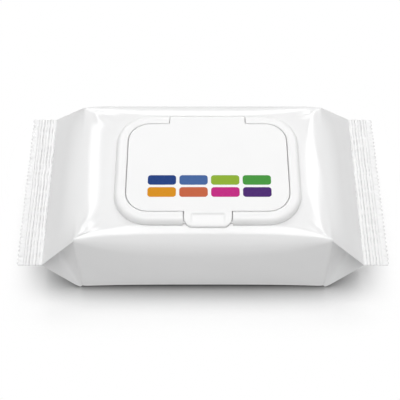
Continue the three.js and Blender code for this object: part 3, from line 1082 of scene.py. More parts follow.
    def edge_roll(self, tilts: Sequence[Plan], size: float) -> np.ndarray:
        """Gives the profile of a long top edge, rolled over from the flat top into the face.

        Args:
            tilts: how it rolls over, as length along it and tilt in degrees.
            size: its size, 1 in the middle of the pack.

        Returns:
            How far out and how far down each point lies, from the end of the flat top.
        """
        lengths, turns = zip(*tilts)
        s = np.linspace(0, lengths[-1], self.roll_samples)
        bends = np.pad(np.interp(s, lengths, turns), self.roll_blur // 2, mode="edge")
        tilt = np.radians(np.convolve(bends, np.full(self.roll_blur, 1 / self.roll_blur), "valid"))
        step = size * lengths[-1] / (self.roll_samples - 1)
        out, down = (np.concatenate([[0], np.cumsum(way(tilt[:-1]))]) * step for way in (np.cos, np.sin))
        pace = s / s[-1] + tilt / tilt[-1]
        every = np.arange(self.roll_samples)
        wanted = np.linspace(0, pace[-1], self.tip_points + self.wing_points + 1)[1:]
        picked = np.interp(wanted, pace, every)
        return np.column_stack([np.interp(picked, every, run) for run in (out, down)])

    def end_half(self, x: float) -> np.ndarray:
        """Gives half a section through an end: top wing, tucked gusset and bottom wing.

        Args:
            x: the station.

        Returns:
            Y and Z of each point.
        """
        edge_z, bottom = self.heights(x)
        slope = (abs(x) - self.top_length / 2) / (self.seal_start - self.top_length / 2)
        edge = lerp(self.body_width / 2, self.seal_half, slope)
        crease = lerp(self.body_width / 2, self.seal_half - self.tuck, slope)
        wing = min(self.wing, (edge_z - bottom) * self.wing_share)
        tip = wing / 2
        reach = edge - tip
        f = np.linspace(0, 1, self.top_points)
        top = np.column_stack([f * reach, self.crown(x, f)])
        a = np.linspace(0, math.pi, self.tip_points + 1)
        fold = np.column_stack([reach + tip * np.sin(a), tip * np.cos(a)])
        y = np.linspace(reach, crease, self.wing_points + 1)[1:]
        under = self.crown(x, y / reach) - wing
        f = np.linspace(0, 1, self.wall_points + self.wing_points + 2)[1:-1]
        flare = lerp(crease, reach, f**self.gusset_flare)
        gusset = np.column_stack([flare, lerp(under[-1], bottom + wing, f)])
        return np.vstack([
            top,
            fold[1:] + (0, edge_z - tip),
            np.column_stack([y, under]),
            gusset,
            fold[:-1] + (0, bottom + tip),
            self.bottom_half(reach, bottom),
        ])

    def bottom_half(self, reach: float, bottom: float) -> np.ndarray:
        """Gives half of the bottom, from its edge to the middle, stepped down at the back seam.

        Args:
            reach: Y of the bottom's edge.
            bottom: its height.

        Returns:
            Y and Z of each point.
        """
        seam, soft = self.seam_width / 2, self.seam_soft
        at_seam = [seam + soft, seam - soft, seam / 2, 0]
        y = np.concatenate([np.linspace(reach, seam + 3 * soft, self.seam_points - len(at_seam)), at_seam])
        step = self.seam_step * smooth(seam - soft, seam + soft, y) * smooth(reach, reach - self.seam_fade, y)
        return np.column_stack([y, bottom + step])

    def loops(self) -> np.ndarray:
        """Gives all sections as closed loops.

        Returns:
            Points, by station and place round the loop.
        """
        made = []
        for x in self.stations():
            if abs(x) <= self.top_length / 2:
                front, rear = self.body_half(x, self.front_tilts), self.body_half(x, self.rear_tilts)
            else:
                front = rear = self.end_half(x)
            loop = np.vstack([front[-2:0:-1] * (-1, 1), rear])
            made.append(np.column_stack([np.full(len(loop), x), loop]))
        return np.array(made)

    def soften_film(self, points: np.ndarray) -> np.ndarray:
        """Lays folds and slack into the film and rounds its bottom corners.

        Args:
            points: sections, by station and place round the loop.

        Returns:
            The moved points.
        """
        moved = points.copy()
        x, y, z = np.moveaxis(points, -1, 0)
        half = points.shape[1] // 2 - 1
        top = slice(half - self.top_points + 1, half + self.top_points)
        plan = points[:, top, :2].reshape(-1, 2)
        lift = sum((fold.lift(plan) for fold in self.folds), self.slack(plan))
        moved[:, top, 2] += lift.reshape(len(points), -1)
        wide = self.body_width / 2
        side = smooth(wide - self.side_zone[0], wide - self.side_zone[1], np.abs(y))
        moved[..., 1] += np.sign(y) * self.side_slack(x, z, np.sign(y)) * side
        off = np.hypot(np.abs(x) - self.bottom_length / 2, np.abs(y) - wide)
        near = np.exp(-((off / self.foot_reach) ** 2))
        moved[..., 2] += self.foot_lift * near * smooth(2 * self.foot_reach, 0, z)
        return moved

    def slack(self, plan: np.ndarray) -> np.ndarray:
        """Gives the loose film's slight waves on the top, none under the cap and few at the edges.

        Args:
            plan: n x 2 plan points.

        Returns:
            The lift at each point.
        """
        x, y = plan.T
        waves = sum(wave.at(x, y) for wave in self.slack_waves)
        off_cap = (np.abs(plan - self.mouth_middle) - self.still_reach).max(axis=1)
        near, far = (self.body_width / 2 - fade for fade in self.edge_fade)
        in_reach = lerp(self.edge_slack, 1.0, smooth(near, far, np.abs(y)))
        ends = smooth(self.seal_start, self.seal_start - self.seal_fade, np.abs(x))
        return waves * smooth(*self.still_fade, off_cap) * in_reach * ends

    def side_slack(self, x: np.ndarray, z: np.ndarray, side: np.ndarray) -> np.ndarray:
        """Gives the slight waves of the front and rear faces, outwards.

        Args:
            x: place along the pack.
            z: height.
            side: sign of Y.

        Returns:
            How far each point stands out.
        """
        share = np.clip(z / self.height, 0, 1)
        waves = self.side_swing.at(x, share, side * self.side_phase) + self.side_ripple.at(x, share)
        inside = smooth(self.top_length / 2, self.top_length / 2 - self.side_fade, np.abs(x))
        return waves * inside * np.sin(math.pi * share) ** 2

    def build(self, material: bpy.types.Material) -> None:
        """Makes the pouch.

        Args:
            material: the film.
        """
        points = self.soften_film(self.loops())
        rows, n = points.shape[:2]
        skin = Skin()
        skin.add(points)
        reach = np.array([self.patch_length, self.patch_width]) / 2
        inside = (np.abs(points[:, :, :2] - self.mouth_middle) < reach).all(axis=2)
        inside &= points[:, :, 2] > self.height / 2
        i0, i1 = np.flatnonzero(inside.any(axis=1))[[0, -1]]
        j0, j1 = np.flatnonzero(inside.any(axis=0))[[0, -1]]
        for i in range(rows - 1):
            for j in range(n):
                if i0 <= i < i1 and j0 <= j < j1:
                    continue
                k = (j + 1) % n
                skin.faces.append((i * n + j, (i + 1) * n + j, (i + 1) * n + k, i * n + k))
        for i in (0, rows - 1):
            skin.ladder(i * n, n)
        sides = (points[i0:i1, j0], points[i1, j0:j1], points[i1:i0:-1, j1], points[i0, j1:j0:-1])
        border = np.vstack(sides)[:, :2]
        size = (self.mouth_length, self.mouth_width, self.mouth_corner)
        mouth = Outline.rounded_rect(self.mouth_middle, *size, steps=14, pitch=1.5)
        skin.cap([border, mouth.ring(-self.lip_width)], level(self.height))
        shares = np.linspace(0, 1, self.lip_rings)
        insets = self.lip_width * (shares - 1)
        drops = self.mouth_sag * shares**2
        skin.band([at_height(mouth.ring(d), self.height - z) for d, z in zip(insets, drops)])
        made = skin.finish("film_pouch_skin")
        thicken(made, self.film, -1)
        seat(made, Body.PACK, ["film_pouch"], material)


@dataclass(frozen=True)
class Ripple:
    """Noise along a seal, centred on zero."""

    scale: float
    shift: float
    detail: float
    height: float = 1.0
    stretch: float = 0.35

    def laid(self, tree: GeometryTree, u: Term, y: Term, seed: Term) -> Term:
        """Adds the noise to a tree.

        Args:
            tree: the seal's tree.
            u: place across the seal.
            y: place along it.
            seed: shift of the whole pattern.

        Returns:
            The ripple's height.
        """
        place = tree.vector(u * self.stretch + seed + self.shift, y)
        inputs = {"Vector": place, "Scale": self.scale, "Detail": self.detail}
        noise = tree.term("ShaderNodeTexNoise", {"noise_dimensions": "2D"}, inputs)
        return (noise - 0.5) * self.height


@dataclass
class CrimpedSeal:
    """A flat end seal: crimped ridges along it, a looser outer strip and a saw-cut edge."""

    start: float = 99.2
    length: float = 16.2
    thickness: float = 0.6
    height: float = 37.0
    cuts_across: int = 70
    ridge_pitch: float = 1.95
    ridge_depth: float = 0.55
    ridge_from: float = 0.6
    ridge_to: float = 12.2
    fade_in: Range = (-0.3, 0.5)
    fade_out: Range = (-0.6, 0.4)
    groove_power: float = 4.0
    ridge_mean: float = 0.8
    beat_pace: float = 0.5
    beat_phase: float = 0.9
    beat_share: float = 0.3
    slack_lead: float = 1.0
    tooth_count: int = 38
    tooth_depth: float = 1.0
    tooth_samples: int = 6
    tooth_reach: float = 3.0
    tip_zone: Range = (1.3, 0.2)
    tip_shade: float = 0.9
    dent_depth: float = 0.9
    dent_lines: Range = (0.02, 0.16)
    # painted shade darkening the dents of the outer strip
    dent_shade: float = 0.5
    sway: Ripple = Ripple(0.16, 0.0, 1.0, 0.7)
    uneven: Ripple = Ripple(0.3, 7.0, 1.0, 1.2)
    dents: Ripple = Ripple(0.42, 17.0, 1.0)
    crumple: Ripple = Ripple(0.22, 13.0, 2.0, 0.7)
    curl: Ripple = Ripple(0.05, 21.0, 0.0, 1.2)
    seeds: Ends = (3.7, 11.3)
    span: float = field(init=False)

    def __post_init__(self) -> None:
        """Takes the span from the frame."""
        low, high = mm_box("film_pouch")
        self.span = float(high[1] - low[1])

    def tree(self, material: bpy.types.Material) -> GeometryTree:
        """Builds the geometry tree that both seals share.

        Args:
            material: the film.

        Returns:
            The tree, with its sizes as named inputs.
        """
        tree = GeometryTree("crimped_seal")
        side, seed, length, span, thickness, start, height = tree.sizes(
            side=1.0,
            seed=0.0,
            length=self.length,
            span=self.span,
            thickness=self.thickness,
            start=self.start,
            height=self.height,
        )
        ridge_depth, tooth_pitch, tooth_depth = tree.sizes(
            ridge_depth=self.ridge_depth,
            tooth_pitch=self.span / self.tooth_count,
            tooth_depth=self.tooth_depth,
        )
        cuts = (self.cuts_across, self.tooth_count * self.tooth_samples + 1, 2)
        strip = tree.block(tree.vector(length, span, thickness), cuts)
        x, y, z = tree.place()
        u = x + length / 2
        ripples = (self.sway, self.uneven, self.dents, self.crumple, self.curl)
        sway, uneven, dents, crumple, curl = (ripple.laid(tree, u, y, seed) for ripple in ripples)
        phase = (u + sway - self.ridge_from) * (2 * math.pi / self.ridge_pitch)
        fade_in = u.rise(*(self.ridge_from + d for d in self.fade_in))
        window = fade_in * (1 - u.rise(*(self.ridge_to + d for d in self.fade_out)))
        beat = (phase * self.beat_pace + self.beat_phase).step("COSINE") * self.beat_share
        strength = self.ridge_mean + beat + uneven
        groove = (phase.step("COSINE") * 0.5 + 0.5) ** self.groove_power
        ridges = (0.5 - groove) * window * strength * ridge_depth
        slack = u.rise(self.ridge_to - self.slack_lead, self.length)
        loose = (crumple + dents * self.dent_depth) * slack + curl * (u / length)
        tooth = (y + span / 2).step("PINGPONG", tooth_pitch / 2) / (tooth_pitch / 2)
        cut = (1 - tooth) * tooth_depth * u.rise(self.length - self.tooth_reach, self.length)
        tips = tooth * tooth * u.rise(*(self.length - d for d in self.tip_zone))
        # painted shade: the dents and crimp grooves are stored as a share that darkens the film's colour; the
        # tooth tips are darkened too
        painted_dent_shade = slack * (dents * -1).rise(*self.dent_lines) * self.dent_shade
        pressed = groove * window * strength + painted_dent_shade + tips * self.tip_shade
        lined = tree.term(
            "GeometryNodeStoreNamedAttribute",
            {"data_type": "FLOAT", "domain": "POINT"},
            {"Geometry": strip, "Name": SealFinish.attribute, "Value": pressed},
        )
        target = tree.vector((start + u - cut) * side, y * side, z + ridges + loose + height)
        tree.close(tree.moved(lined, target), material)
        return tree

    def build(self, tree: GeometryTree, end: End) -> None:
        """Makes the seal of one end.

        Args:
            tree: the shared geometry tree.
            end: which end.
        """
        seed = self.seeds[int(end is End.RIGHT)]
        made = tree.grow(f"crimped_seal_{end.name.lower()}", side=float(end.value), seed=seed)
        seat(made, Body.PACK)


@dataclass
class WipeStack:
    """The block of folded wipes, one thin slab for each folded sheet."""

    sheets: int = 48
    gap: float = 0.12
    end_round: float = 18.0
    end_drop: float = 6.0
    jitter: float = 0.5
    seed: int = 5
    slab_cuts: tuple[int, int, int] = (25, 3, 2)
    press_from: float = 51.5
    press_slope: float = 0.8
    fill: float = 0.95

    def build(self, material: bpy.types.Material) -> bpy.types.Object:
        """Makes the stack.

        Args:
            material: the non-woven.

        Returns:
            The piece.
        """
        low, high = mm_box("wipes_stack")
        length, width, height = (high - low).tolist()
        tree = GeometryTree("wipe_stack")
        sheet_length, sheet_width, pitch, base = tree.sizes(
            sheet_length=length, sheet_width=width, sheet_pitch=height / self.sheets, base=float(low[2])
        )
        room = 2 * self.jitter
        size = tree.vector(sheet_length - room, sheet_width - room, pitch - self.gap)
        slab = tree.block(size, self.slab_cuts)
        first = tree.vector(z=base + pitch / 2)
        line = {"Count": self.sheets, "Start Location": first, "Offset": tree.vector(z=pitch)}
        column = tree.term("GeometryNodeMeshLine", {"mode": "OFFSET"}, line)
        reach = (self.jitter, self.jitter, 0)
        draw = {"Min": tuple(-r for r in reach), "Max": reach, "Seed": self.seed}
        shift = tree.term("FunctionNodeRandomValue", {"data_type": "FLOAT_VECTOR"}, draw)
        real = tree.term("GeometryNodeRealizeInstances", None, {0: tree.copies(column, slab, shift)})
        x, y, z = tree.place()
        past = (abs(x) - (length / 2 - self.end_round)).step("MAXIMUM", 0.0) / self.end_round
        arc = 1 - (1 - past.step("MINIMUM", 1.0) ** 2.0) ** 0.5
        share = ((z - base) / height) ** 2.0
        edge = width / 2 - (z - self.press_from).step("MAXIMUM", 0.0) * self.press_slope
        pressed = y.step("MINIMUM", edge).step("MAXIMUM", edge * -1)
        tree.close(tree.moved(real, tree.vector(x, pressed, z - arc * share * self.end_drop)), material)
        made = tree.grow("folded_wipes")
        seat(made, Body.PACK, ["wipes_stack"])
        return made


@dataclass
class TopWipe:
    """The uppermost wipe, folded in three so that its free edge lies under the mouth."""

    flat_width: float = 150.0
    flat_length: float = 200.0
    cloth: float = 0.24
    rest_gap: float = 0.05
    layer_step: float = 0.36
    fold_reach: float = 44.5
    free_edge: float = 8.0
    edge_curl: float = 0.9
    curl_reach: float = 9.0
    end_round: float = 18.0
    end_drop: float = 6.0
    end_samples: int = 200
    pitch: float = 1.4
    layer_points: tuple[int, int, int] = (36, 66, 44)
    fold_points: int = 7
    least_step: float = 1e-4
    ripple: Wave = Wave(0.03, (0.21, 0, 1.3), (0, 0.17, 0.4))

    def path(self, base: float) -> np.ndarray:
        """Gives the folded wipe's section across the pack.

        Args:
            base: height of the lowest layer's middle.

        Returns:
            Y and Z along the cloth, from the hidden flap to the free edge.
        """
        r = self.layer_step / 2
        reach = self.fold_reach - r
        flap = self.flat_length - 2 * reach - (reach + self.free_edge) - 2 * math.pi * r
        a = np.linspace(-QUARTER, QUARTER, self.fold_points)
        turn = np.column_stack([r * np.cos(a), r + r * np.sin(a)])
        under, middle, upper = self.layer_points
        over = base + 2 * r
        y = np.linspace(-reach, self.free_edge, upper)
        lift = self.edge_curl * smooth(self.free_edge - self.curl_reach, self.free_edge, y) ** 2
        line = np.vstack([
            at_height(np.linspace(reach - flap, reach, under), base),
            turn + (reach, base),
            at_height(np.linspace(reach, -reach, middle), over),
            turn * (-1, 1) + (-reach, over),
            np.column_stack([y, over + 2 * r + lift]),
        ])
        apart = np.linalg.norm(np.diff(line, axis=0), axis=1) > self.least_step
        return line[np.r_[True, apart]]

    def build(self, material: bpy.types.Material, stack: bpy.types.Object) -> None:
        """Makes the wipe.

        Args:
            material: the non-woven.
            stack: the stack that it lies on; not used.
        """
        _, high = mm_box("wipes_stack")
        stack_half, _, stack_top = high.tolist()
        path = self.path(stack_top + self.cloth / 2 + self.rest_gap)
        half = stack_half - self.end_round
        u = np.linspace(-self.flat_width / 2, self.flat_width / 2, round(self.flat_width / self.pitch) + 1)
        over = np.maximum(np.abs(u) - half, 0)
        a = np.linspace(0, QUARTER, self.end_samples)
        grid = np.empty((len(u), len(path), 3))
        for j, (y, z) in enumerate(path):
            lift = z - stack_top
            long, short = self.end_round + lift, self.end_drop + lift
            steps = np.hypot(long * np.cos(a), short * np.sin(a))
            run = np.r_[0, np.cumsum((steps[1:] + steps[:-1]) / 2) * (a[1] - a[0])]
            angle = np.interp(over, run, a)
            grid[:, j, 0] = np.sign(u) * (np.minimum(np.abs(u), half) + long * np.sin(angle))
            grid[:, j, 1] = y
            grid[:, j, 2] = stack_top - self.end_drop + short * np.cos(angle)
        grid[..., 2] += self.ripple.at(grid[..., 0], grid[..., 1]) + self.ripple.height
        n = len(path)
        skin = Skin()
        skin.add(grid)
        for i in range(len(u) - 1):
            a, b = i * n, (i + 1) * n
            skin.faces += [(a + j, a + j + 1, b + j + 1, b + j) for j in range(n - 1)]
        made = skin.finish("top_wipe_cloth")
        thicken(made, self.cloth, 0)
        seat(made, Body.PACK, ["top_wipe"], material)


@dataclass
class CapSizes:
    """Sizes that the cap's frame and lid share."""

    rim_width: float = 7.2
    lid_gap: float = 0.5
    lid_corner: float = 13.9
    lid_thickness: float = 1.2
    lid_top: float = 4.1
    tab_width: float = 29.3
    tab_gap: float = 0.6
    hinge_width: float = 48.4
    hinge_fillet: float = 1.6
    hinge_y: float = 39.6
    web: float = 0.35
    mouth_length: float = 84.0
    mouth_width: float = 48.0
    mouth_corner: float = 18.0
    wall: float = 1.0
    middle: Plan = field(init=False)
    base: float = field(init=False)
    length: float = field(init=False)
    width: float = field(init=False)

    def __post_init__(self) -> None:
        """Takes the cap's place and outer size from the frame."""
        low, high = mm_box("lid_frame")
        self.middle = tuple(((low + high) / 2)[:2])
        self.base = float(low[2])
        self.length, self.width = (float(size) - 2 * self.rim_width for size in (high - low)[:2])

    @property
    def top(self) -> float:
        """Height of the lid's upper face."""
        return self.base + self.lid_top

    @property
    def under(self) -> float:
        """Height of the lid's lower face."""
        return self.top - self.lid_thickness

    def opening(self, reach: float, steps: int = 10, pitch: float = 2.0) -> Outline:
        """Gives the outline of the frame's opening, widened by a reach."""
        size = (self.length + 2 * reach, self.width + 2 * reach, self.lid_corner + self.lid_gap + reach)
        return Outline.rounded_rect(self.middle, *size, steps, pitch)

    def mouth(self, inset: float = 0.0) -> Outline:
        """Gives the outline of the frame's mouth, made smaller by an inset."""
        size = (self.mouth_length - 2 * inset, self.mouth_width - 2 * inset, self.mouth_corner - inset)
        return Outline.rounded_rect(self.middle, *size, steps=16)


@dataclass
class LidFrame:
    """The moulded frame: bead rim in two runs, floor with its mouth and lip, sills and rear wall."""

    cap: CapSizes
    rim_height: float = 4.6
    rim_inner: float = 3.8
    rim_crest: float = 2.6
    rim_square: float = 0.76
    rim_steps: tuple[int, int] = (16, 7)
    run_pitch: float = 0.45
    run_touch: float = 0.01
    end_round: float = 1.5
    end_ease: float = 0.3
    floor: float = 0.9
    lip_clearance: float = 0.3
    lip_soft: float = 0.3
    sill_set_back: float = 1.1
    sill_soft: float = 0.25
    wall_soft: float = 0.4
    wall_slip: float = 0.1
    overlap: float = 0.5
    block_corner: float = 0.2
    block_rings: int = 5

    def rim_profile(self) -> np.ndarray:
        """Gives the bead's section.

        Returns:
            Points outwards from the opening and up from the base.
        """
        outer_steps, inner_steps = self.rim_steps
        a = np.linspace(0, QUARTER, outer_steps)
        out, up = np.cos(a) ** self.rim_square, np.sin(a) ** self.rim_square
        side = self.cap.rim_width - self.rim_crest
        outer = np.column_stack([self.rim_crest + side * out, self.rim_height * up])
        a = np.linspace(QUARTER, math.pi, inner_steps)[1:]
        shoulder = self.rim_height - self.rim_inner
        across = self.rim_crest + self.rim_crest * np.cos(a)
        inner = np.column_stack([across, self.rim_inner + shoulder * np.sin(a)])
        return np.vstack([[0.0, 0.0], outer, inner])

    def rim_runs(self) -> list[np.ndarray]:
        """Gives the bead's paths along its crest, between the front notch and the hinge notch.

        Returns:
            Plan points of the left path and the right path.
        """
        cap = self.cap
        outline = cap.opening(self.rim_crest, steps=24, pitch=0.6).ring()
        front = cap.tab_width / 2 + cap.tab_gap
        rear = cap.hinge_width / 2 + cap.tab_gap
        runs = []
        for side in (-1, 1):
            own = outline[(outline[:, 0] - cap.middle[0]) * side > 0]
            y = own[:, 1]
            off = np.abs(own[:, 0] - cap.middle[0])
            in_front = (y < y.min() + self.run_touch) & (off < front)
            in_rear = (y > y.max() - self.run_touch) & (off < rear)
            own = own[~(in_front | in_rear)]
            start = int(np.argmax(np.linalg.norm(own - np.roll(own, 1, axis=0), axis=1)))
            own = np.roll(own, -start, axis=0)
            first, last = (
                [cap.middle[0] + side * (front if y < cap.middle[1] else rear), y] for y in own[[0, -1], 1]
            )
            runs.append(np.vstack([[first], own, [last]]))
        return runs

    def rim_tree(self, material: bpy.types.Material) -> GeometryTree:
        """Builds the tree that sweeps the bead's profile along its paths.

        Args:
            material: the cap's plastic.

        Returns:
            The tree.
        """
        tree = GeometryTree("bead_rim")
        pitch, end_round = tree.sizes(pitch=self.run_pitch, end_round=self.end_round)
        flag = tree.term("GeometryNodeInputNamedAttribute", {"data_type": "BOOLEAN"}, {"Name": "profile"})
        choice = {"Geometry": tree.geometry, "Selection": flag}
        parts = tree.node("GeometryNodeSeparateGeometry", None, choice).outputs
        profile, path = (tree.term("GeometryNodeMeshToCurve", None, {0: Term(tree, p)}) for p in parts)
        even = tree.term("GeometryNodeResampleCurve", {"mode": "LENGTH"}, {"Curve": path, "Length": pitch})
        upright = tree.term("GeometryNodeSetCurveNormal", {"mode": "Z_UP"}, {"Curve": even})
        along = tree.term("GeometryNodeSplineParameter", None, None, "Length")
        whole = tree.term("GeometryNodeSplineLength", None, None, "Length")
        near = along.step("MINIMUM", whole - along) / end_round
        drop = 1 - (1 - (1 - near.step("MINIMUM", 1.0)) ** 2.0) ** 0.5
        radius = 1 - drop * self.end_ease
        tapered = tree.term("GeometryNodeSetCurveRadius", None, {"Curve": upright, "Radius": radius})
        sweep = {"Curve": tapered, "Profile Curve": profile, "Fill Caps": True}
        tree.close(tree.term("GeometryNodeCurveToMesh", None, sweep), material)
        return tree

    def rim(self, material: bpy.types.Material) -> bpy.types.Object:
        """Makes the bead rim.

        Args:
            material: the cap's plastic.

        Returns:
            The rim's object.
        """
        profile = (self.rim_profile() - (self.rim_crest, 0)) * (1, -1)
        lines = [at_height(run, self.cap.base) for run in self.rim_runs()] + [at_height(profile, 0.0)]
        edges = []
        first = 0
        for line in lines:
            n = len(line)
            edges += [(first + i, first + i + 1) for i in range(n - 1)]
            first += n
        edges.append((first - 1, first - len(profile)))
        base = bpy.data.meshes.new("bead_rim")
        base.from_pydata(np.vstack(lines).tolist(), edges, [])
        flags = base.attributes.new("profile", "BOOLEAN", "POINT")
        flags.data.foreach_set("value", [i >= first - len(profile) for i in range(first)])
        made = self.rim_tree(material).grow("bead_rim", base)
        weld(made.data)
        return made

    def floor_plate(self) -> bpy.types.Object:
        """Makes the floor, with the mouth and its sealing lip in one.

        Returns:
            The floor's object.
        """
        cap, soft = self.cap, self.lip_soft
        outer, mouth = cap.opening(cap.wall / 2), cap.mouth()
        top = cap.base + self.floor
        lip_top = cap.under - self.lip_clearance
        profile = eased((-cap.wall, top), (-1, 0), (0, 1), soft)
        profile += eased((-cap.wall, lip_top), (0, -1), (1, 0), soft)
        profile += eased((0, lip_top), (-1, 0), (0, -1), soft)
        profile.append((0, cap.base))
        skin = Skin()
        skin.band([at_height(outer.ring(), z) for z in (cap.base, top)])
        skin.band([at_height(mouth.ring(inset), z) for inset, z in profile])
        skin.cap([outer.ring(), mouth.ring(-cap.wall - soft)], level(top))
        skin.cap([outer.ring(), mouth.ring()], level(cap.base))
        return skin.finish("frame_floor")

    def block(self, name: str, x: float, y: Range, top: float, soft: float) -> bpy.types.Object:
        """Makes a sill or wall across a notch, its upper edges softened.

        Args:
            name: its name.
            x: its half length along X from the cap's middle.
            y: its front and its rear.
            top: its upper face.
            soft: radius of the upper edges.

        Returns:
            The block.
        """
        base = self.cap.base
        middle = (self.cap.middle[0], (y[0] + y[1]) / 2)
        plan = Outline.rounded_rect(middle, 2 * x, y[1] - y[0], min(soft, self.block_corner), steps=4)
        levels = [(0.0, base), (0.0, top - soft)]
        turns = np.linspace(0, QUARTER, self.block_rings)[1:]
        levels += [(soft * (1 - math.cos(a)), top - soft * (1 - math.sin(a))) for a in turns]
        rings = [at_height(plan.ring(inset), z) for inset, z in levels]
        skin = Skin()
        skin.band(rings)
        for ring, z in ((rings[0], base), (rings[-1], top)):
            skin.cap([ring[:, :2]], level(z))
        return skin.finish(name)

    def build(self, material: bpy.types.Material) -> None:
        """Makes the frame in one moulding.

        Args:
            material: the cap's plastic.
        """
        cap = self.cap
        front, rear = (cap.middle[1] + side * cap.width / 2 for side in (-1, 1))
        near, far = front - cap.rim_width + self.sill_set_back, rear + cap.rim_width
        hinge, margin = cap.hinge_width / 2, cap.tab_gap + cap.wall
        sill = cap.base + self.floor
        wall_top = cap.top - cap.web / 2 - self.wall_slip
        sill_front = (near, front + self.overlap)
        sill_rear = (rear - self.overlap, far - self.wall_slip)
        parts = [
            self.floor_plate(),
            self.block("front_sill", cap.tab_width / 2 + margin, sill_front, sill, self.sill_soft),
            self.block("rear_sill", hinge + margin, sill_rear, sill, self.sill_soft),
            self.block("rear_wall", hinge, (far - cap.wall, far), wall_top, self.wall_soft),
        ]
        made = self.rim(material)
        made.name = "lid_frame_moulding"
        unite(made, parts)
        seat(made, Body.PACK, ["lid_frame"], material)


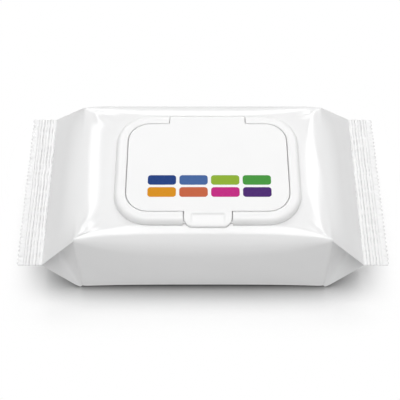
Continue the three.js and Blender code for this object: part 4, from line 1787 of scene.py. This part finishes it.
@dataclass
class FlipLid:
    """The lid: panel with skirt and plug, hinge tab at the rear and a drooping thumb tab with its scoop."""

    cap: CapSizes
    edge_round: float = 0.4
    edge_rings: int = 6
    face_inset: float = 0.88
    skirt: float = 0.9
    skirt_depth: float = 1.0
    foot_soft: float = 0.2
    draft: float = 0.05
    under_inset: float = 0.6
    tab_corner: float = 5.2
    tab_set_back: float = 0.9
    tab_droop: float = 3.4
    tab_curve: float = 1.7
    tab_blend: float = 0.5
    tab_under_droop: float = 2.6
    tab_fillet: float = 0.5
    tab_margin: float = 1.2
    tab_lip: float = 1.1
    lip_fade: Range = (1.5, 0.9)
    scoop_width: float = 21.3
    scoop_from: float = 1.2
    scoop_depth: float = 0.95
    scoop_step: float = 1.3
    scoop_ease: float = 0.2
    scoop_end: float = 0.8
    scoop_sides: Range = (0.4, -1.6)
    hinge_back: float = 0.75
    hinge_edge: float = 1.15
    hinge_thin: Range = (2.0, 1.0)
    hinge_corner: float = 0.5
    hinge_margin: float = 2.6
    grid_half: float = 13.4
    grid_pitch: Plan = (0.4, 0.35)
    grid_span: Range = (1.1, 2.0)
    grid_margin: float = 0.25
    plug_clearance: float = 0.35
    plug_thickness: float = 0.9
    plug_depth: float = 1.7
    plug_root: float = 0.4
    plug_soft: float = 0.25
    front: float = field(init=False)
    rear: float = field(init=False)
    tab_front: float = field(init=False)

    def __post_init__(self) -> None:
        """Takes the tab's reach from the frame."""
        low, _ = mm_box("lid")
        deep = self.cap.width / 2 - self.cap.lid_gap
        self.front, self.rear = (self.cap.middle[1] + side * deep for side in (-1, 1))
        self.tab_front = float(low[1]) + self.tab_set_back

    def outline(self) -> Outline:
        """Gives the lid's plan: the panel with its two tabs.

        Returns:
            The outline.
        """
        cap = self.cap
        half, tab, hinge = cap.length / 2 - cap.lid_gap, cap.tab_width / 2, cap.hinge_width / 2
        right = [
            (tab, self.tab_front, self.tab_corner),
            (tab, self.front, self.tab_fillet),
            (half, self.front, cap.lid_corner),
            (half, self.rear, cap.lid_corner),
            (hinge, self.rear, cap.hinge_fillet),
            (hinge, cap.hinge_y - self.hinge_back, self.hinge_corner),
        ]
        left = [(-x, y, r) for x, y, r in right[::-1]]
        corners = [(cap.middle[0] + x, y, r) for x, y, r in left[3:] + right + left[:3]]
        return Outline(corners, steps=12, pitch=0.8)

    def over(self, plan: np.ndarray) -> np.ndarray:
        """Gives the height of the upper face, with the tab's droop and scoop.

        Args:
            plan: n x 2 plan points.

        Returns:
            Z of each point.
        """
        x, y = plan[:, 0] - self.cap.middle[0], plan[:, 1]
        q = np.clip((y - self.tab_front) / (self.front + self.tab_blend - self.tab_front), 0, 1)
        droop = self.tab_droop * (1 - q) ** self.tab_curve
        ledge = self.front - self.scoop_from
        inside = smooth(*(self.scoop_width / 2 + d for d in self.scoop_sides), np.abs(x))
        inside *= smooth(ledge + self.scoop_ease, ledge - self.scoop_step, y)
        end = self.tab_front + self.scoop_end
        fade = np.clip((y - end) / (ledge - end), 0, 1)
        return self.cap.top - droop - self.scoop_depth * inside * fade

    def below(self, plan: np.ndarray) -> np.ndarray:
        """Gives the height of the lower face.

        Args:
            plan: n x 2 plan points.

        Returns:
            Z of each point.
        """
        cap, y = self.cap, plan[:, 1]
        q = np.clip((y - self.tab_front) / (self.front - self.tab_front), 0, 1)
        thin = smooth(*(cap.hinge_y - d for d in self.hinge_thin), y) * (cap.lid_thickness - self.hinge_edge)
        return cap.under - self.tab_under_droop * (1 - q) ** 2 + thin

    def skirt_foot(self, plan: np.ndarray) -> np.ndarray:
        """Gives the foot of the edge: a skirt round the panel, a lip on the thumb tab, none at the hinge.

        Args:
            plan: n x 2 plan points.

        Returns:
            Z of each point.
        """
        x, y = np.abs(plan[:, 0] - self.cap.middle[0]), plan[:, 1]
        tab = (x < self.cap.tab_width / 2 + self.tab_margin) & (y < self.front + self.tab_margin)
        hinge = (x < self.cap.hinge_width / 2 + self.hinge_margin) & (y > self.rear - self.tab_margin)
        lip = self.tab_lip * smooth(*(self.tab_front + d for d in self.lip_fade), y)
        return self.below(plan) - np.where(tab, lip, np.where(hinge, 0.0, self.skirt_depth))

    def panel(self) -> bpy.types.Object:
        """Makes the panel with its tabs and skirt as one closed shell.

        Returns:
            The panel's object.
        """
        outline, soft = self.outline(), self.edge_round
        rings = [(self.face_inset, self.over(outline.ring(self.face_inset)))]
        for a in np.linspace(0, QUARTER, self.edge_rings):
            inset = soft * (1 - math.sin(a))
            rings.append((inset, self.over(outline.ring(inset)) - soft * (1 - math.cos(a))))
        foot = self.skirt_foot(outline.ring())
        rings += [(0.0, foot + self.foot_soft), (self.foot_soft, foot), (self.skirt, foot)]
        for inset in (self.skirt + self.draft, self.skirt + self.under_inset):
            rings.append((inset, self.below(outline.ring(inset))))
        skin = Skin()
        skin.band([at_height(outline.ring(inset), z) for inset, z in rings])
        ahead, behind = self.grid_span
        wide, deep = self.grid_pitch
        x = self.cap.middle[0] + np.arange(-self.grid_half, self.grid_half + wide / 2, wide)
        y = np.arange(self.tab_front + ahead, self.front + behind, deep)
        grid = np.array([(a, b) for a in x for b in y])
        for inset, height in ((self.face_inset, self.over), (self.skirt + self.under_inset, self.below)):
            inner = grid[within(grid, [outline.ring(inset + self.grid_margin)])]
            skin.cap([outline.ring(inset)], height, inner)
        return skin.finish("flip_lid")

    def plug(self) -> bpy.types.Object:
        """Makes the plug rib that fits inside the frame's lip.

        Returns:
            The rib's object.
        """
        outline = self.cap.mouth(self.plug_clearance)
        foot, root = self.cap.under - self.plug_depth, self.cap.under + self.plug_root
        wall, soft = self.plug_thickness, self.plug_soft
        profile = [(0, root), *eased((0, foot), (0, 1), (1, 0), soft)]
        profile += [*eased((wall, foot), (-1, 0), (0, 1), soft), (wall, root), (0, root)]
        skin = Skin()
        skin.band([at_height(outline.ring(inset), z) for inset, z in profile])
        return skin.finish("plug_rib")

    def build(self, material: bpy.types.Material) -> None:
        """Makes the lid in one moulding.

        Args:
            material: the cap's plastic.
        """
        made = self.panel()
        unite(made, [self.plug()])
        seat(made, Body.LID, ["lid"], material)


@dataclass
class LivingHinge:
    """The thin web between the frame's rear wall and the lid."""

    cap: CapSizes
    reach: float = 0.95
    sink: float = 0.85
    thickness: float = 0.25
    side_gap: float = 0.2
    steps: int = 12
    columns: int = 40
    bend_half: float = 0.3

    def build(self, material: bpy.types.Material) -> None:
        """Makes the web.

        Args:
            material: the cap's plastic.
        """
        cap = self.cap
        half = cap.hinge_width / 2 - self.side_gap
        y = np.linspace(cap.hinge_y - self.reach, cap.hinge_y + self.reach, self.steps)
        upper = at_height(y, cap.top - self.sink)
        loop = np.vstack([upper, (upper - (0, self.thickness))[::-1]])
        xs = np.linspace(cap.middle[0] - half, cap.middle[0] + half, self.columns)
        n = len(loop)
        skin = Skin()
        skin.band([np.column_stack([np.full(n, x), loop]) for x in xs])
        for row in (0, self.columns - 1):
            skin.ladder(row * n, n)
        made = skin.finish("living_hinge")
        dress(made, material)
        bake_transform(made)
        LOG.info("%s: %d faces between pack and lid", made.name, len(made.data.polygons))


class TagInk(Enum):
    """Inks of the printed tags, row by row from the rear left."""

    NAVY = (0.008, 0.042, 0.2)
    STEEL = (0.055, 0.125, 0.33)
    LIME = (0.26, 0.42, 0.03)
    LEAF = (0.055, 0.29, 0.043)
    AMBER = (0.67, 0.27, 0.006)
    BRICK = (0.54, 0.12, 0.05)
    ROSE = (0.52, 0.016, 0.21)
    PLUM = (0.062, 0.014, 0.15)


@dataclass
class ColourTags:
    """Two rows of plain printed tags on the lid."""

    cap: CapSizes
    first: Plan = (-25.5, -11.05)
    pitch: Plan = (19.7, -9.1)
    length: float = 17.65
    width: float = 7.3
    corner: float = 2.0
    corner_steps: int = 8
    ink: float = 0.03
    sunk_share: float = 1 / 3
    columns: int = 4
    rows: int = 2

    def tree(self, material: bpy.types.Material) -> GeometryTree:
        """Builds the tree that sets one thin tag on each point.

        Args:
            material: the ink.

        Returns:
            The tree.
        """
        tree = GeometryTree("colour_tags")
        length, width, corner, ink, height = tree.sizes(
            tag_length=self.length,
            tag_width=self.width,
            tag_corner=self.corner,
            ink=self.ink,
            height=self.cap.top - self.ink * self.sunk_share,
        )
        size = {"Width": length, "Height": width}
        plate = tree.term("GeometryNodeCurvePrimitiveQuadrilateral", {"mode": "RECTANGLE"}, size)
        fillet = {"Curve": plate, "Radius": corner, "Count": self.corner_steps, "Limit Radius": True}
        rounded = tree.term("GeometryNodeFilletCurve", {"mode": "POLY"}, fillet)
        face = tree.term("GeometryNodeFillCurve", {"mode": "NGONS"}, {0: rounded})
        pull = {"Mesh": face, "Offset Scale": ink, "Individual": False}
        thick = tree.term("GeometryNodeExtrudeMesh", {"mode": "FACES"}, pull)
        under = tree.term("GeometryNodeFlipFaces", None, {0: face})
        tag = tree.term("GeometryNodeJoinGeometry", None, {0: [thick, under]})
        tree.close(tree.copies(tree.geometry, tag, tree.vector(z=height)), material)
        return tree

    def build(self, material: bpy.types.Material) -> None:
        """Makes the tags as thin fields of ink.

        Args:
            material: the ink.
        """
        spots = [(column, row) for row in range(self.rows) for column in range(self.columns)]
        base = bpy.data.meshes.new("colour_tags")
        base.from_pydata(at_height(np.array(self.first) + np.array(spots) * self.pitch, 0.0).tolist(), [], [])
        colours = base.attributes.new(InkFinish.attribute, "FLOAT_COLOR", "POINT")
        colours.data.foreach_set("color", [c for tag_ink in TagInk for c in (*tag_ink.value, 1.0)])
        made = self.tree(material).grow("colour_tags", base)
        weld(made.data)
        seat(made, Body.LID)


@dataclass(frozen=True)
class SoftBox:
    """A soft lamp that faces the pack: place and size in metres, power in watts."""

    name: str
    place: Triple
    size: Plan
    power: float
    aim: Triple = (0, 0, 0.04)

    def build(self) -> None:
        """Hangs the lamp."""
        data = bpy.data.lights.new(self.name, "AREA")
        data.shape = "RECTANGLE"
        data.size, data.size_y = self.size
        data.energy = self.power
        made = bpy.data.objects.new(self.name, data)
        made.location = self.place
        made.rotation_euler = (Vector(self.aim) - Vector(self.place)).to_track_quat("-Z", "Y").to_euler()
        bpy.context.scene.collection.objects.link(made)


@dataclass
class Studio:
    """Camera, soft lamps and pale floor."""

    camera_height: float = 56.0
    camera_distance: float = 643.4
    target: Triple = (-1.79, -3.93, 30.0)
    sensor: float = 36.0
    focal_pixels: float = 982.9
    frame_pixels: float = 400.0
    fill: float = 0.37
    front_fill: float = 0.275
    side_loss: float = 0.04
    dome: Range = (-0.1, 0.5)
    floor_half: float = 4.0
    floor_tone: float = 0.77
    floor_shown: float = 1.09
    # painted shadow: ambient occlusion darkens the floor near the pack for the camera, over the real shadow
    shade: float = 1.25
    painted_shade_reach: float = 0.022
    painted_contact_power: float = 0.8
    painted_contact_reach: float = 0.004
    shade_samples: int = 16
    shadow_reach: Plan = (0.095, 0.05)
    floor_white: Range = (0.002, 0.043)
    lamps: Sequence[SoftBox] = (
        SoftBox("overhead_box", (0.0, -0.22, 1.5), (0.78, 1.0), 9.6),
        SoftBox("left_box", (-0.60, 0.92, 1.2), (0.28, 0.9), 2.8),
        SoftBox("right_box", (0.60, 0.92, 1.2), (0.36, 0.9), 3.4),
        SoftBox("rear_box", (-0.1, 1.2, 0.95), (0.9, 0.28), 3.0),
    )

    def camera(self) -> None:
        """Makes the camera at the photograph's viewing angle."""
        data = bpy.data.cameras.new("camera")
        data.sensor_width = self.sensor
        data.lens = self.focal_pixels / self.frame_pixels * data.sensor_width
        made = bpy.data.objects.new("camera", data)
        bpy.context.scene.collection.objects.link(made)
        rise = math.radians(self.camera_height)
        back = Vector((0, -math.cos(rise), math.sin(rise)))
        made.location = (Vector(self.target) + back * self.camera_distance) * MM
        made.rotation_euler = (QUARTER - rise, 0, 0)
        bpy.context.scene.camera = made

    def world(self) -> None:
        """Fills the shadows from all round, and shows white to the camera and in reflections."""
        made = bpy.data.worlds.new("studio")
        made.use_nodes = True
        bpy.context.scene.world = made
        tree = NodeTree(made.node_tree)
        path = tree.node("ShaderNodeLightPath")
        names = ("Is Camera Ray", "Is Transmission Ray", "Is Glossy Ray")
        seen, through, gloss = (Term(tree, path.outputs[name]) for name in names)
        across, ahead, up = tree.split(tree.term("ShaderNodeTexCoord", None, None, "Generated"))
        fill = self.fill - ahead * self.front_fill - across * across * self.side_loss
        shown = (gloss * up.rise(*self.dome)).step("MAXIMUM", seen.step("MAXIMUM", through))
        background = made.node_tree.nodes["Background"]
        tree.feed(background.inputs["Strength"], shown * (1 - fill) + fill)
        tree.feed(background.inputs["Color"], (1, 1, 1, 1))

    def floor(self) -> None:
        """Lays the pale floor, which keeps the pack's real shadow, gets painted shadow near the pack from
        ambient occlusion, and turns plain white further out.
        """
        mesh = bpy.data.meshes.new("floor")
        half = self.floor_half
        corners = ((-half, -half, 0), (half, -half, 0), (half, half, 0), (-half, half, 0))
        mesh.from_pydata(corners, [], [(0, 1, 2, 3)])
        ground = add_object("floor", mesh)
        material = bpy.data.materials.new("pale_floor")
        material.use_nodes = True
        material.node_tree.nodes.clear()
        tree = NodeTree(material.node_tree)
        seen = tree.term("ShaderNodeLightPath", None, None, "Is Camera Ray")
        # painted shadow: two ambient occlusion masks darken the floor's colour near and under the pack
        settings = {"samples": self.shade_samples}
        wide, near = (
            tree.term("ShaderNodeAmbientOcclusion", settings, {"Distance": reach}, "AO")
            for reach in (self.painted_shade_reach, self.painted_contact_reach)
        )
        # the painted shadow darkens what the camera sees of the floor
        shown = wide**self.shade * near**self.painted_contact_power * self.floor_shown
        tone = shown * seen + (1 - seen) * self.floor_tone
        cloth = tree.term("ShaderNodeBsdfDiffuse", None, {"Color": tone})
        white = tree.term("ShaderNodeEmission", None, {"Color": (1, 1, 1, 1), "Strength": 1.0})
        off = tree.term("ShaderNodeTexCoord", None, None, "Object")
        moves = (("ABSOLUTE", ()), ("SUBTRACT", (*self.shadow_reach, 0)), ("MAXIMUM", (0, 0, 0)))
        for operation, other in moves:
            inputs = {0: off, 1: other} if other else {0: off}
            off = tree.term("ShaderNodeVectorMath", {"operation": operation}, inputs)
        distance = tree.term("ShaderNodeVectorMath", {"operation": "LENGTH"}, {0: off}, "Value")
        far = distance.rise(*self.floor_white) * seen
        both = tree.term("ShaderNodeMixShader", None, {0: far, 1: cloth, 2: white})
        tree.node("ShaderNodeOutputMaterial", None, {"Surface": both})
        dress(ground, material)

    def build(self) -> None:
        """Sets up the whole studio."""
        bpy.context.scene.view_settings.view_transform = "Standard"
        self.camera()
        self.world()
        self.floor()
        for lamp in self.lamps:
            lamp.build()


# Soft ridges of the top film, from the corners and beside the cap.
TOP_FOLDS = (
    Fold((-79, -52), (-57, -39), 1.5, 0.45, 0.6),
    Fold((-79, -53), (-68, -24), 1.4, 0.22, -1.2),
    Fold((-78, -47), (-63, -29), 1.9, 0.4, 0.8),
    Fold((-72, -46), (-58, -34), 1.5, 0.36, -0.5),
    Fold((-74, 46), (-58, 30), 2.6, 0.35, 1.2),
    Fold((-76, 49), (-50, 41), 2.4, 0.3, -1.0),
    Fold((79, -52), (62, -36), 1.4, 0.25, -0.6),
    Fold((68, 40), (76, -50), 1.3, 0.12, 3.0),
    Fold((72, 30), (77, -50), 1.1, 0.09, 2.0),
    Fold((76, 49), (58, 41), 2.0, 0.25, 1.0),
)


def main() -> None:
    """Builds the pack's pieces in order."""
    logging.basicConfig(level=logging.INFO, format="%(name)s: %(message)s")
    Studio().build()
    film = FilmFinish("white_film", (0.868, 0.868, 0.869), 0.14).build()
    sealed = SealFinish("sealed_film", (0.862, 0.862, 0.863), 0.26).build()
    plastic = CapFinish("satin_cap", (0.9, 0.9, 0.899), 0.38).build()
    cloth = WipeFinish("damp_wipe", (0.86, 0.87, 0.86), 0.75).build()
    glue = GlueFinish("hot_melt", (0.8, 0.74, 0.56), 0.45).build()
    ink = InkFinish("tag_ink", (0.85, 0.85, 0.85), 0.45).build()
    FilmPouch(TOP_FOLDS).build(film)
    seal = CrimpedSeal()
    crimp = seal.tree(sealed)
    for end in End:
        seal.build(crimp, end)
    stack = WipeStack().build(cloth)
    TopWipe().build(cloth, stack)
    cap = CapSizes()
    LidFrame(cap).build(plastic)
    FlipLid(cap).build(plastic)
    LivingHinge(cap).build(plastic)
    ColourTags(cap).build(ink)
    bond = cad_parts["adhesive_ring"]
    dress(bond, glue)
    LOG.info("%s: CAD node in its own finish", bond.name)


if __name__ == "__main__":
    main()
